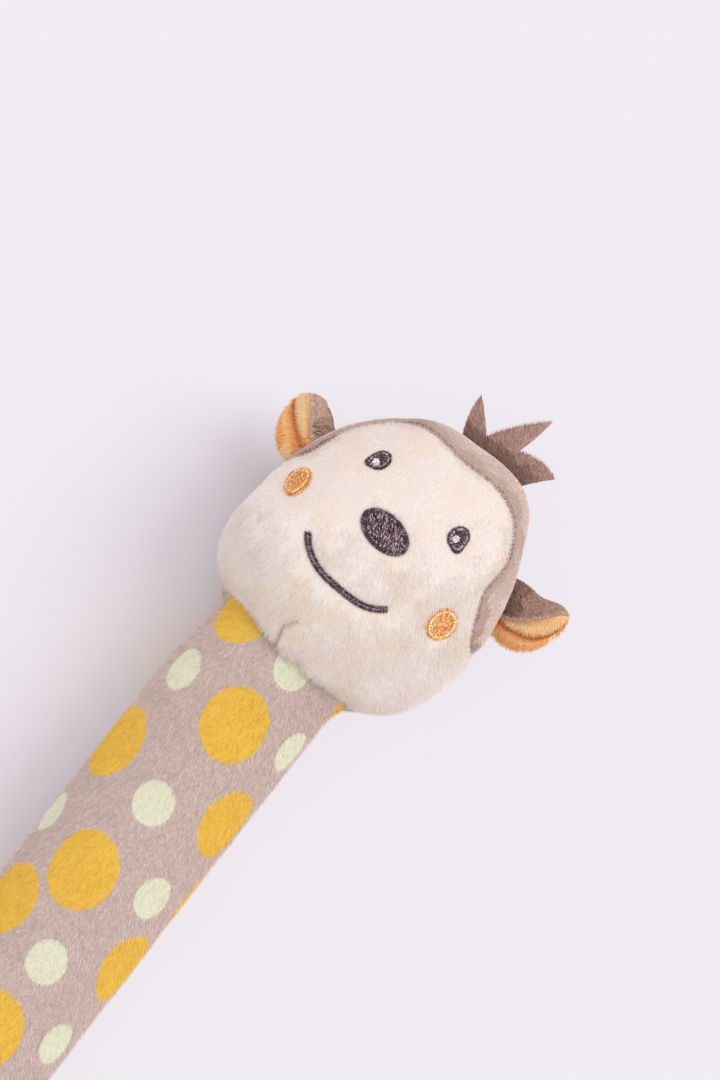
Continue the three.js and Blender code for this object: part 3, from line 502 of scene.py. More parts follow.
def pile_tree(name, plain, prints):
    """Nodes that set fibres on a cloth along its comb value, and give each a tint of its place's colour."""
    looks = ("Density", "Length", "Width", "Flatness", "Lift")
    nodes, given = shape_nodes(name, (*looks, "Sway", "Scatter", "Sway size", "Patchiness"))
    seed = given.output("Seed")

    def chance(kind, low, high, step):
        values = {0: low, 1: high, "Seed": seed + step}
        return nodes.add("FunctionNodeRandomValue", {"data_type": kind}, values)

    cloth = given.output("Geometry")
    values = {"Mesh": cloth, "Density": given.output("Density"), "Seed": seed}
    points = nodes.add("GeometryNodeDistributePointsOnFaces", {"distribute_method": "RANDOM"}, values)
    place = nodes.add("GeometryNodeInputPosition")
    comb = stored(nodes, "comb", "FLOAT_VECTOR")
    values = {"Vector": place, "Scale": given.output("Sway size"), "Detail": 1.0}
    wave = nodes.add("ShaderNodeTexNoise", {}, values).output("Color")
    drift = nodes.vector("SCALE", nodes.vector("SUBTRACT", wave, (0.5, 0.5, 0.5)), given.output("Sway"))
    jitter = nodes.vector("SCALE", chance("FLOAT_VECTOR", *EVERY_WAY, 1), given.output("Scatter"))
    lying = nodes.vector("ADD", nodes.vector("ADD", comb, drift), jitter)
    lift = given.output("Lift") * chance("FLOAT", 0.4, 1.6, 2)
    up = points.output("Normal")
    standing = nodes.vector("ADD", nodes.vector("NORMALIZE", lying), nodes.vector("SCALE", up, lift))
    roll = nodes.vector("SCALE", chance("FLOAT_VECTOR", *EVERY_WAY, 3), FIBRE_ROLL)
    rolled = nodes.vector("ADD", up, roll)
    values = {"Primary Axis": standing, "Secondary Axis": rolled}
    rotation = nodes.add("FunctionNodeAxesToRotation", {"primary_axis": "Z", "secondary_axis": "X"}, values)
    length = given.output("Length")
    values = {"Vertices": 3, "Radius Top": 0.0, "Radius Bottom": given.output("Width"), "Depth": length}
    fibre = nodes.add("GeometryNodeMeshCone", {"fill_type": "NGON"}, values)
    sunk = nodes.add("ShaderNodeCombineXYZ", {}, {"Z": length * -FIBRE_ROOT})
    fibre = nodes.add("GeometryNodeTransform", {}, {"Geometry": fibre, "Translation": sunk})
    thick, tall = chance("FLOAT", 0.7, 1.25, 4), chance("FLOAT", 0.6, 1.2, 5)
    flat_across = thick * given.output("Flatness")
    scale = nodes.add("ShaderNodeCombineXYZ", {}, {"X": flat_across, "Y": thick, "Z": tall})
    broad = nodes.add("ShaderNodeTexNoise", {}, {"Vector": place, "Scale": TINT_PATCHES, "Detail": 3.0})
    tint = chance("FLOAT", 0.0, 1.0, 6) + (broad - 0.5) * given.output("Patchiness")
    values = {"Points": points, "Instance": fibre, "Rotation": rotation, "Scale": scale}
    fibres = tinted(nodes, set_on_points(nodes, values, tint), plain)
    for value, looks in prints:
        fibres = tinted(nodes, fibres, looks, exceeds(nodes, stored(nodes, value), 0.0))
    nodes.add("NodeGroupOutput", {}, {0: fibres})
    return nodes.tree


PILE_SHARE = 1.0
PILE_OFF_FLOOR = 0.15
SLEEVE_PILE_END = 13.0  # above the pivot, inside the head
SLEEVE_PILE_PARTS = 3


def through_nodes(name, source, tree, inputs):
    """A plain mesh object of what a tree of nodes makes from another object, which is then removed."""
    modifier = source.modifiers.new("nodes", "NODES")
    modifier.node_group = tree
    for item in tree.interface.items_tree:
        if item.in_out == "INPUT" and item.name in inputs:
            modifier[item.identifier] = inputs[item.name]
    graph = bpy.context.evaluated_depsgraph_get()
    mesh = bpy.data.meshes.new_from_object(source.evaluated_get(graph), depsgraph=graph)
    mesh.name = name
    for attribute in [a.name for a in mesh.attributes if a.domain == "POINT" and a.name != "position"]:
        mesh.attributes.remove(mesh.attributes[attribute])
    for layer in list(mesh.uv_layers):
        mesh.uv_layers.remove(layer)
    made = bpy.data.objects.new(name, mesh)
    bpy.context.scene.collection.objects.link(made)
    bpy.data.objects.remove(source)
    return made


def pile(
    name, cloth, body, plain, density, length, width, lift, seed,
    flatness=0.45, sway=0.5, scatter=0.22, patch=3.0, patchiness=0.8, prints=(),
):
    """The pile of a cloth, as a piece that rides with it. Its density is fibres on a square millimetre."""
    values = ["comb", *[value for value, looks in prints]]
    ground = cloth.piece(name + "_ground", keep=values)
    inputs = {
        "Density": density / MM**2 * PILE_SHARE,
        "Length": length * MM,
        "Width": width / 2 * MM,
        "Flatness": flatness,
        "Lift": lift,
        "Sway": sway,
        "Scatter": scatter,
        "Sway size": 1 / (patch * MM),
        "Patchiness": patchiness,
        "Seed": seed,
    }
    made = through_nodes(name, ground, pile_tree(name, plain, prints), inputs)
    co = np.empty(len(made.data.vertices) * 3, np.float32)
    made.data.vertices.foreach_get("co", co)
    co[2::3] = np.maximum(co[2::3], PILE_OFF_FLOOR * MM)
    made.data.vertices.foreach_set("co", co)
    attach(made, body)
    return made


def put(made, node, body):
    """Puts a piece on its body in place of its solid, which is hidden."""
    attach(made, body)
    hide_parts(node)


def padded_cloth(name, cloth, material, node, body, keep=()):
    """A cloth with its thickness, in place of its solid."""
    put(cloth.closed(CLOTH_THICKNESS * MM).piece(name, material, keep), node, body)


print_ground, nodes, shader = pile_ground("printed_cloth", colour(*TAUPE_PRINT), colour(178, 154, 147))
fine = nodes.noise(0.6, 3.0)
printed = Wire(nodes, shader.inputs["Base Color"].links[0].from_socket)
# The dots are printed on the ground too, each dot's tone mixed in fine grain with one a quarter darker:
# painted shade between the fibres.
for value, tone in (("mint", MINT_PRINT), ("yellow", YELLOW_PRINT)):
    inside = nodes.add("ShaderNodeAttribute", {"attribute_name": value}).output("Fac")
    mask = nodes.add("ShaderNodeMapRange", {}, {0: inside + (fine - 0.5) * 0.5, 1: -0.1, 2: 0.1})
    printed = nodes.mixed(mask, printed, nodes.mixed(fine, colour(*tone, 0.75), colour(*tone)))
into(nodes, shader, "Base Color", printed)
padded_cloth("sleeve_cloth", sleeve, print_ground, "body_sleeve", "tube", ["yellow", "mint"])

taupe_print = tints("taupe_print", TAUPE_PRINT, (0.8, 1.0, 1.22), 0.2)
yellow_print = tints("yellow_print", YELLOW_PRINT, (0.82, 1.0, 1.12))
mint_print = tints("mint_print", MINT_PRINT, (0.88, 1.0, 1.08))
sleeve_prints = [("mint", mint_print), ("yellow", yellow_print)]
sleeve_ends = np.linspace(sleeve_points[:, 1].min() - 1, SLEEVE_PILE_END, SLEEVE_PILE_PARTS + 1)
for k, (low, high) in enumerate(zip(sleeve_ends, sleeve_ends[1:])):
    part = sleeve.cut(sleeve.values["y"] - low)
    part = part.cut(high - part.values["y"])
    pile(
        f"sleeve_pile_{k + 1}", part, "tube", taupe_print,
        density=4.2, length=1.7, width=0.26, lift=0.5, seed=11 + k, prints=sleeve_prints,
    )

# The end panel: a round of the plain taupe cloth that closes the far end of the tube, sewn in with a plain
# seam. The stuffing bulges it. The photograph ends before it.
TAUPE = (216, 189, 178)
end_profile = evenly(end_curve(END_PANEL_RADIUS - SEAM_GAP, 0.4), CLOTH_STEP)
end_turn = np.linspace(0, 2 * math.pi, 110, endpoint=False)
end_points = turned_about_y(end_profile, end_turn)
end_cap = round_cap(len(end_points), len(end_points) - len(end_turn) + np.arange(len(end_turn)))
end_points = np.concatenate([end_points, [[0.0, TUBE_END, 0.0]]])
end_reach = np.hypot(end_points[:, 0], end_points[:, 2])
end_relief = 0.4 * lumps(end_points, 9.0, 3) - 0.9 * np.exp(-(((END_PANEL_RADIUS - end_reach) / 1.4) ** 2))
end_shape = end_points - np.array([0, 1, 0]) * end_relief[:, None]
end_panel = Cloth(
    pivot + pressed(end_shape) * MM,
    np.concatenate([grid_faces(len(end_profile), len(end_turn), flip=True), end_cap]),
    {"comb": np.tile([0.15, 0.0, -1.0], (len(end_points), 1))},
)
taupe_ground = pile_ground("taupe_cloth", colour(*TAUPE), colour(160, 134, 126))[0]
taupe_fibres = tints("taupe", TAUPE, (0.86, 1.0, 1.16), 0.2)
padded_cloth("end_panel_cloth", end_panel, taupe_ground, "body_end_panel", "tube")
pile(
    "end_panel_pile", end_panel, "tube", taupe_fibres,
    density=4.2, length=1.6, width=0.25, lift=0.45, seed=21,
)

# The squeaker: a blown plastic bulb with a reed pressed into its mouth, deep in the tube's stuffing. Both
# keep their solids and get the look of thin blown plastic and of a moulded plug.
bulb, nodes, shader = finish("bulb_plastic", colour(228, 232, 236), roughness=0.4, specular=0.45)
cloudy = nodes.noise(6.0, 4.0)
into(nodes, shader, "Base Color", nodes.mixed(cloudy, colour(216, 222, 228), colour(240, 243, 245)))
into(nodes, shader, "Roughness", 0.3 + 0.25 * cloudy)
bumped(nodes, shader, cloudy, strength=0.2, distance=0.1)
reed, nodes, shader = finish("reed_plastic", colour(70, 116, 184), roughness=0.35, specular=0.5)
grain = nodes.noise(0.8, 2.0)
into(nodes, shader, "Base Color", nodes.mixed(grain, colour(60, 104, 170), colour(82, 128, 196)))
into(nodes, shader, "Roughness", 0.28 + 0.2 * grain)
for node, look in (("squeaker_bulb", bulb), ("squeaker_reed", reed)):
    frame["nodes"][node].data.materials.clear()
    frame["nodes"][node].data.materials.append(look)

# The stuffing: loose polyester fibre, pushed in by hand, so its surface is lumpy. It fills the tube round
# the squeaker, the neck and the head, a little inside the covers.
fill_look, nodes, shader = finish("fibre_fill", colour(240, 239, 235), roughness=0.95)
strands = nodes.noise(1.4, 5.0)
into(nodes, shader, "Base Color", nodes.mixed(strands, colour(226, 224, 220), colour(250, 249, 246)))
bumped(nodes, shader, strands, strength=0.8, distance=0.5)


def stuffing(node, name, body, voxel, seed):
    """A lumpy body of fibre a little inside its solid."""
    source = bpy.data.objects.new(name, frame["nodes"][node].data.copy())
    bpy.context.scene.collection.objects.link(source)
    welded = source.modifiers.new("weld", "WELD")
    welded.merge_threshold = 0.01 * MM
    remesh = source.modifiers.new("remesh", "REMESH")
    remesh.mode = "VOXEL"
    remesh.voxel_size = voxel * MM
    graph = bpy.context.evaluated_depsgraph_get()
    mesh = bpy.data.meshes.new_from_object(source.evaluated_get(graph), depsgraph=graph)
    bpy.data.objects.remove(source)
    points = np.array([v.co for v in mesh.vertices])
    normals = np.array([v.normal for v in mesh.vertices])
    sink = 0.6 + 0.45 * lumps(points / MM, 7.0, seed) + 0.2 * lumps(points / MM, 2.8, seed + 1)
    points = points - normals * (sink * MM)[:, None]
    mesh.vertices.foreach_set("co", points.astype(np.float32).ravel())
    mesh.materials.clear()
    mesh.materials.append(fill_look)
    mesh.name = name
    mesh.shade_smooth()
    made = bpy.data.objects.new(name, mesh)
    bpy.context.scene.collection.objects.link(made)
    put(made, node, body)


stuffing("body_filling_upper", "stuffing_upper", "tube", voxel=1.4, seed=31)
stuffing("body_filling_lower", "stuffing_lower", "tube", voxel=1.4, seed=33)
stuffing("neck_filling", "stuffing_neck", "neck_core", voxel=1.2, seed=35)
stuffing("head_filling", "stuffing_head", "head", voxel=1.6, seed=37)

# The neck's seam: two twisted strands of thread that draw the head's rim in round the tube. At the front the
# covers ride up on the tube, so the seam runs higher there, and the pile of the covers lies over it.
# The rim's line is given by places across the head, and how far up the rim is there.
RIM_LINE = [
    (-24.0, 3.1), (-16.0, 3.3), (-9.0, 1.9), (-5.0, 0.8), (-2.0, 1.2), (3.0, 2.5), (6.0, 2.4), (10.0, 1.9),
    (18.0, 3.8), (24.0, 4.3),
]
SEAM_RING_RADIUS, SEAM_UNDER_RIM, SEAM_OFF_TUBE = 20.9, 0.1, 0.35
SEAM_TWISTS, SEAM_STEPS = 84, 10
STRAND_RADIUS, STRAND_OFF = 0.22, 0.2

head_up = Vector(joints["neck_turn"]["axis"]).normalized()
head_left = head_up.cross(Vector((0, 0, 1)))
head_axes = np.array([head_left, head_up, (0, 0, 1)])  # rows: the head's x, y and z in the row's frame


def to_row(points):
    """Points of the head's own frame in the row's frame, in metres."""
    return pivot + (np.asarray(points) @ head_axes) * MM


def rim_lift(points):
    """How far up the head's rim is drawn, at places in the head's own frame."""
    across, high = np.transpose(RIM_LINE)
    return np.interp(points[:, 0], across, high) * np.clip((points[:, 2] + 6) / 14, 0, 1)


def direction(vectors):
    return vectors / np.linalg.norm(vectors, axis=-1, keepdims=True)


def closed_tube(line, radius, sides=6):
    """Points and triangles of a tube along a closed line round the tube's axis."""
    along = direction(np.roll(line, -1, axis=0) - np.roll(line, 1, axis=0))
    out = line - line.mean(axis=0)
    out = direction(out - (out * along).sum(axis=1, keepdims=True) * along)
    side = np.cross(along, out)
    turn = np.linspace(0, 2 * math.pi, sides, endpoint=False)[None, :, None]
    points = line[:, None] + radius * (np.cos(turn) * out[:, None] + np.sin(turn) * side[:, None])
    i, j = (index.ravel() for index in np.meshgrid(np.arange(len(line)), np.arange(sides), indexing="ij"))
    after, beside = (i + 1) % len(line), (j + 1) % sides
    a, b, c, d = i * sides + j, i * sides + beside, after * sides + beside, after * sides + j
    return points.reshape(-1, 3), np.concatenate([np.column_stack([a, b, c]), np.column_stack([a, c, d])])


seam_turn = np.linspace(0, 2 * math.pi, SEAM_TWISTS * SEAM_STEPS, endpoint=False)
seam_ring = turned_about_y(np.array([[SEAM_RING_RADIUS, NECK_RIM - SEAM_UNDER_RIM]]), seam_turn)
seam_ring[:, 1] += rim_lift(seam_ring)
seam_ring = seam_ring @ head_axes
seam_angle = np.arctan2(seam_ring[:, 0], seam_ring[:, 2])
seam_folds = neck_folds(seam_angle % (2 * math.pi), seam_ring[:, 1])
seam_reach = np.sqrt(TUBE_RADIUS**2 - seam_ring[:, 1] ** 2) + seam_folds + SEAM_OFF_TUBE
seam_out = np.column_stack([np.sin(seam_angle), 0 * seam_angle, np.cos(seam_angle)])
seam_middle = seam_out * seam_reach[:, None] + seam_ring * [0, 1, 0]
twist = (seam_turn * SEAM_TWISTS)[:, None]
strands = []
for start in (0, math.pi):
    off = STRAND_OFF * (np.cos(twist + start) * seam_out + np.sin(twist + start) * np.array([0, 1, 0]))
    strands.append(closed_tube(seam_middle + off, STRAND_RADIUS))
strand_points = np.concatenate([points for points, triangles in strands])
strand_triangles = np.concatenate([strands[0][1], strands[1][1] + len(strands[0][0])])
cord, nodes, shader = finish("seam_thread", colour(176, 152, 142), roughness=0.8)
twist = nodes.noise(0.5, 2.0)
into(nodes, shader, "Base Color", nodes.mixed(twist, colour(140, 116, 108), colour(196, 172, 162)))
bumped(nodes, shader, twist, strength=0.7, distance=0.15)
neck_thread = Cloth(pivot + strand_points * MM, strand_triangles).piece("neck_thread", cord)
put(neck_thread, "neck_seam", "neck_ring")

# The head's covers: a cream face panel, a taupe hood round it and a taupe back in two halves, all of short
# pile cloth. They are sewn with narrow seams that pull in, turned and stuffed, and gathered in at the neck.
HEAD_WIDTH, HEAD_DEPTH, HEAD_HEIGHT = 75.0, 57.0, 80.3
WIDEST = NECK_RIM + 30.3
CROWN = NECK_RIM + HEAD_HEIGHT
HEAD_RISE = HEAD_DEPTH / 2 - TUBE_RADIUS
HEAD_SHIFT = 1.0
CROWN_SKEW, CROWN_SKEW_POWER = 7.5, 8
CROWN_POWER, CHEEK_POWER, SECTION_POWER = 2.1, 2.4, 2.25
SOCKET_RADIUS = 23.0
# The face panel's outline seen from in front, as shares of the head's half width and of its height
FACE_SEAM = [
    (1.14, 0.41), (0.939, 0.488), (0.813, 0.578), (0.723, 0.664), (0.704, 0.763), (0.592, 0.853),
    (0.443, 0.912), (0.213, 0.934), (-0.107, 0.915), (-0.396, 0.905), (-0.59, 0.868), (-0.71, 0.82),
    (-0.85, 0.72), (-0.9, 0.63), (-0.935, 0.565), (-0.965, 0.53), (-1.02, 0.47), (-1.14, 0.38),
    (-1.25, 0.15), (-0.8, -0.2), (0.8, -0.2), (1.25, 0.15),
]
SEAM_TURNS_AT = {"right": 0.45, "left": 0.465}  # where it turns to the head's side seam
SEAM_STAYS_IN_FRONT = 2.5
SEAM_BEND, SEAM_BLEND = 3.0, 0.7  # how softly it turns there, and leaves its outline
HEAD_COLUMNS, ROWS_BELOW, ROWS_ABOVE = 250, 46, 76
CREAM = (248, 238, 233)
CHIN_CREASE = [(-2.9, 18.2), (-4.6, 14.4), (-3.2, 11.4), (-1.5, 8.4)]
RIM_FADE = 14.0  # how far above the rim the gathers draw the covers up
NOSE_AT, NOSE_SIZE = (-0.109, 0.553), (16.0, 10.0)
EYES = {
    "eye_right": {"at": (-0.511, 0.718), "size": (5.2, 6.3), "lean": 0.08, "glint": (-0.25, -1.3)},
    "eye_left": {"at": (0.307, 0.72), "size": (5.8, 6.6), "lean": 0.0, "glint": (-0.4, -0.9)},
}
CHEEKS = {
    "cheek_right": {"at": (-0.832, 0.464), "size": (5.8, 9.4)},
    "cheek_left": {"at": (0.672, 0.467), "size": (7.8, 10.0)},
}
MOUTH = [
    (-0.508, 0.366), (-0.46, 0.344), (-0.389, 0.323), (-0.309, 0.308), (-0.221, 0.301), (-0.131, 0.301),
    (-0.048, 0.304), (0.035, 0.308), (0.131, 0.317), (0.211, 0.333), (0.261, 0.35), (0.302, 0.37),
]
MOUTH_WIDTH = 1.75
EYE_POINT, EYE_POINT_POWER = 0.42, 9

neck_rim_radius = math.sqrt(TUBE_RADIUS**2 - NECK_RIM**2)


def signed_power(value, power):
    return np.sign(value) * np.abs(value) ** power


def head_section(level):
    """The head's level section: its middle, half width, front, back and power."""
    up = np.clip((level - WIDEST) / (CROWN - WIDEST), 0, 1)
    left = np.maximum(0, 1 - up**CROWN_POWER) ** (1 / CROWN_POWER)
    down = np.clip((WIDEST - level) / (WIDEST - NECK_RIM), 0, 1.05)

    def drawn_in(full):
        rim = (1 - (neck_rim_radius / full) ** CHEEK_POWER) ** (1 / CHEEK_POWER)
        return full * np.maximum(0, 1 - (rim * down) ** CHEEK_POWER) ** (1 / CHEEK_POWER)

    above = level >= WIDEST
    half = HEAD_DEPTH / 2
    middle = np.where(above, HEAD_SHIFT + CROWN_SKEW * up**CROWN_SKEW_POWER, HEAD_SHIFT * (1 - down))
    width = np.where(above, HEAD_WIDTH / 2 * left, drawn_in(HEAD_WIDTH / 2))
    front = np.where(above, HEAD_RISE + half * left, drawn_in(HEAD_RISE + half))
    back = np.where(above, HEAD_RISE - half * left, -drawn_in(half - HEAD_RISE))
    power = np.where(above, SECTION_POWER, SECTION_POWER + (2 - SECTION_POWER) * down)
    return middle, width, front, back, power


def head_skin(level, turn):
    """A point of the smooth head, in the head's own frame."""
    middle, width, front, back, power = head_section(level)
    x = middle + width * signed_power(np.cos(turn), 2 / power)
    z = (front + back) / 2 + (front - back) / 2 * signed_power(np.sin(turn), 2 / power)
    return np.stack([x, level * np.ones_like(x), z], axis=-1)


def on_plan(place):
    """A place on the face in millimetres, from its shares of the half width and the height."""
    return np.array([HEAD_SHIFT + place[0] * HEAD_WIDTH / 2, NECK_RIM + place[1] * HEAD_HEIGHT])


def smooth_line(points, steps, closed=False):
    """A smooth line through points, with as many steps from each point to the next."""
    points = np.asarray(points, float)
    count = len(points)
    if closed:
        ring = [points[i % count] for i in range(-1, count + 2)]
    else:
        ring = [2 * points[0] - points[1], *points, 2 * points[-1] - points[-2]]
    line = []
    for a, b, c, d in zip(ring, ring[1:], ring[2:], ring[3:]):
        ab, bc, cd = (max(1e-6, float(np.linalg.norm(q - p))) ** 0.5 for p, q in ((a, b), (b, c), (c, d)))
        out = (b - a) / ab - (c - a) / (ab + bc) + (c - b) / bc
        into_c = (c - b) / bc - (d - b) / (bc + cd) + (d - c) / cd
        for t in np.linspace(0, 1, steps, endpoint=False):
            p = (2 * t**3 - 3 * t**2 + 1) * b + (t**3 - 2 * t**2 + t) * out * bc
            line.append(p + (3 * t**2 - 2 * t**3) * c + (t**3 - t**2) * into_c * bc)
    if not closed:
        line.append(points[-1])
    return np.array(line)


def nearest_on(line, places, closed):
    """For each place in a plane: the distance to a line, and the vector to its nearest point."""
    start = line if closed else line[:-1]
    step = (np.roll(line, -1, axis=0) if closed else line[1:]) - start
    best = np.full(len(places), np.inf)
    way = np.zeros((len(places), 2))
    for a, s in zip(start, step):
        off = places - a
        share = np.clip(off @ s / max(1e-12, float(s @ s)), 0, 1)
        to = share[:, None] * s - off
        distance = np.hypot(to[:, 0], to[:, 1])
        closer = distance < best
        best[closer], way[closer] = distance[closer], to[closer]
    return best, way


def inside_of(line, places):
    """Whether each place is inside a closed line."""
    after = np.roll(line, -1, axis=0)
    inside = np.zeros(len(places), bool)
    for (ax, ay), (bx, by) in zip(line, after):
        if ay != by:
            crosses = (ay > places[:, 1]) != (by > places[:, 1])
            inside ^= crosses & (places[:, 0] < (bx - ax) * (places[:, 1] - ay) / (by - ay) + ax)
    return inside


seam_line = smooth_line([on_plan(p) for p in FACE_SEAM], 8, closed=True)
seam_turns = {side: on_plan((0, share))[1] for side, share in SEAM_TURNS_AT.items()}


def face_side(points):
    """How far inside the face panel's seam a place is, in millimetres, and the way out to the seam."""
    distance, way = nearest_on(seam_line, points[:, :2], closed=True)
    inside = inside_of(seam_line, points[:, :2])
    turn = np.where(points[:, 0] < HEAD_SHIFT, seam_turns["right"], seam_turns["left"])
    above = points[:, 2] - HEAD_RISE - SEAM_STAYS_IN_FRONT
    round_side = SEAM_BEND * np.logaddexp(above / SEAM_BEND, (turn - points[:, 1]) / SEAM_BEND)
    outward = way / np.maximum(distance, 1e-6)[:, None] * np.where(inside, 1, -1)[:, None]
    signed = np.where(inside, distance, -distance)
    return -np.logaddexp(-signed / SEAM_BLEND, -round_side / SEAM_BLEND) * SEAM_BLEND, outward


def oval(centre, size, steps=72, corner=0, lean=0.0):
    """A closed outline round a centre, whose lower corner can be drawn out, and which can lean."""
    turn = np.linspace(0, 2 * math.pi, steps, endpoint=False)
    across, up = np.cos(turn), np.sin(turn)
    to_corner = np.maximum(0, (corner * across - up) / math.sqrt(2))
    reach = 1 + EYE_POINT * to_corner**EYE_POINT_POWER * abs(corner)
    across, up = size[0] / 2 * across * reach, size[1] / 2 * up * reach
    return np.column_stack([centre[0] + across + lean * up, centre[1] + up + lean * across])


def eye_oval(eye, smaller=0.0):
    size, corner = np.array(eye["size"]) - smaller, int(np.sign(eye["at"][0]))
    return oval(on_plan(eye["at"]), size, corner=corner, lean=eye["lean"])


def strip(line, half):
    """The outline of a band along an open line, and the line's cross direction at each point."""
    along = direction(np.gradient(line, axis=0))
    across = np.column_stack([-along[:, 1], along[:, 0]])
    return np.vstack([line + across * half, (line - across * half)[::-1]]), across


mouth_line = evenly(smooth_line([on_plan(p) for p in MOUTH], 10), 0.5)
mouth_half = MOUTH_WIDTH / 2 * np.sqrt(1 - np.linspace(-0.99, 0.99, len(mouth_line)) ** 24)[:, None]
mouth_outline, mouth_across = strip(mouth_line, mouth_half)
outlines = {
    "nose": oval(on_plan(NOSE_AT), NOSE_SIZE),
    "mouth": mouth_outline,
    **{name: eye_oval(eye) for name, eye in EYES.items()},
    **{name: oval(on_plan(cheek["at"]), cheek["size"]) for name, cheek in CHEEKS.items()},
}
crease_line = smooth_line(CHIN_CREASE, 8)


def off_embroidery(places):
    """How far each place in the face's plan is outside the embroidery."""
    off = np.full(len(places), np.inf)
    for outline in outlines.values():
        distance = nearest_on(outline, places, True)[0]
        off = np.minimum(off, np.where(inside_of(outline, places), -distance, distance))
    return off


def head_relief(points, side):
    """How far stuffing, seams, embroidery and gathers move the head's skin out, in millimetres."""
    x, y, z = points.T
    front = np.clip((z - 2) / 10, 0, 1)
    out = 0.6 * lumps(points, 21.0, 5) + 0.3 * lumps(points, 9.0, 6) + 0.08 * lumps(points, 4.5, 7)
    # The seams along the hood, at the sides and down the back, and the pull of the stitches
    out -= 1.3 * np.exp(-((side / 1.5) ** 2)) * np.clip(z / 2, 0, 1)
    out -= 0.5 * np.exp(-((z / 1.2) ** 2))
    out -= 0.5 * np.exp(-(((x - HEAD_SHIFT) / 1.2) ** 2)) * np.clip(-z / 4, 0, 1)
    out -= 0.7 * np.exp(-np.maximum(0, off_embroidery(points[:, :2])) / 2.6) * front
    # The crease under the mouth with the fold beside it, a bulge at the right side and one at the crown
    crease = nearest_on(crease_line, points[:, :2], closed=False)[0]
    out -= 1.7 * np.exp(-((crease / 1.05) ** 2)) * front
    out += 1.2 * np.exp(-(((x - 0.6) / 3.4) ** 2) - ((y - 12.5) / 5.0) ** 2) * front
    out += 0.8 * np.exp(-(((y - 47) / 5.0) ** 2)) * np.clip(-x / 34, 0, 1) ** 4
    out += 1.4 * np.exp(-(((x + 12.5) / 9.0) ** 2)) * np.clip((y - 66) / 16, 0, 1)
    turn = np.arctan2(z, x)
    gathers = np.cos(26 * turn + 3 * lumps(points, 9.0, 8)) * np.exp(-np.maximum(0, y - NECK_RIM) / 4.5)
    return out + 0.35 * gathers


below, above = WIDEST - NECK_RIM + 0.9, CROWN - WIDEST
levels = [WIDEST - below * math.sin(math.pi / 2 * (1 - i / ROWS_BELOW)) for i in range(ROWS_BELOW)]
levels += [WIDEST + above * math.sin(math.pi / 2 * i / ROWS_ABOVE) for i in range(ROWS_ABOVE)]
head_turn = np.linspace(0, 2 * math.pi, HEAD_COLUMNS, endpoint=False)
head_rows = np.repeat(levels, HEAD_COLUMNS)
head_points = head_skin(head_rows, np.tile(head_turn, len(levels)))
head_points = np.concatenate([head_points, [[HEAD_SHIFT + CROWN_SKEW, CROWN, HEAD_RISE]]])
last_ring = len(head_points) - 1 - HEAD_COLUMNS + np.arange(HEAD_COLUMNS)
crown_cap = round_cap(len(head_points) - 1, last_ring)
head_triangles = np.concatenate([grid_faces(len(levels), HEAD_COLUMNS, flip=True), crown_cap])
head_side, head_outward = face_side(head_points)
head_levels = head_points[:, 1].copy()
off_socket = np.linalg.norm(head_points, axis=1) - SOCKET_RADIUS - 0.1
head_points[:, 1] += rim_lift(head_points) * np.clip(1 - (head_levels - NECK_RIM) / RIM_FADE, 0, 1) ** 2
head = Cloth(
    head_points,
    head_triangles,
    {
        "x": head_points[:, 0],
        "y": head_points[:, 1],
        "z": head_points[:, 2],
        "level": head_levels,
        "side": head_side,
        "outward": np.column_stack([head_outward, 0 * head_side]),
        "comb": np.zeros_like(head_points),
    },
)
head = head.moved(head_relief(head_points, head_side))
head.points = pressed(head.points)
head = head.cut(np.minimum(off_socket, head_levels - NECK_RIM))


def in_row(cloth, comb):
    """A cover in the row's frame, with its pile combed along comb, which is in the head's frame."""
    values = dict(cloth.values)
    values["comb"] = comb @ head_axes
    return Cloth(to_row(cloth.points), cloth.triangles, values)


def flat(x, y):
    return np.column_stack([x, y, 0 * x])


def combed_down(part):
    """A half of the back in the row's frame, with its pile combed down."""
    return in_row(part, flat(0.05 * part.values["x"], -1 + 0 * part.values["x"]))


front = head.cut(head.values["z"] - SEAM_GAP / 2)
rear = head.cut(-head.values["z"] - SEAM_GAP / 2)
face = front.cut(front.values["side"])
hood = front.cut(-front.values["side"] - SEAM_GAP)
back_left = rear.cut(rear.values["x"] - HEAD_SHIFT - SEAM_GAP / 2)
back_right = rear.cut(HEAD_SHIFT - SEAM_GAP / 2 - rear.values["x"])

# The face's pile lies down and to its left, fans out under the mouth, and turns out over the seam
PILE_LIES = (0.5, -0.86)
FAN_FROM, FAN_OVER, FAN_MIDDLE = 42.0, 30.0, (-3.0, 46.0)
EDGE_TURN = 1.6  # over how much cloth the pile turns to the seam
x, y = face.values["x"], face.values["y"]
fan = np.clip((FAN_FROM - y) / FAN_OVER, 0, 1)[:, None]
lying = flat(PILE_LIES[0] + 0 * x, PILE_LIES[1] + 0 * y) * (1 - 0.4 * fan)
lying = lying + 0.8 * fan * flat((x - FAN_MIDDLE[0]) / FAN_OVER, (y - FAN_MIDDLE[1]) / FAN_OVER)
edge = np.exp(-np.maximum(face.values["side"], 0) / EDGE_TURN)[:, None]
face = in_row(face, lying * (1 - 0.8 * edge) + face.values["outward"] * edge)
hood_way = hood.values["outward"]
hood_edge = np.exp((hood.values["side"] + SEAM_GAP) / 1.2)[:, None]
along_seam = np.column_stack([hood_way[:, 1], -hood_way[:, 0], 0 * hood_way[:, 0]])
hood_comb = along_seam * (1 - hood_edge) - (0.3 + 0.7 * hood_edge) * hood_way
# Painted shade along the seam: a darker tone within about two millimetres of it, and a darker one still
# within about half a millimetre.
hood.values["seam"] = hood.values["side"] + SEAM_GAP + 0.55 + 0.5 * lumps(hood.points, 2.2, 12)
hood.values["shade"] = hood.values["side"] + SEAM_GAP + 1.9 + 1.6 * lumps(hood.points, 4.0, 14)
hood = in_row(hood, hood_comb)
back_left, back_right = combed_down(back_left), combed_down(back_right)

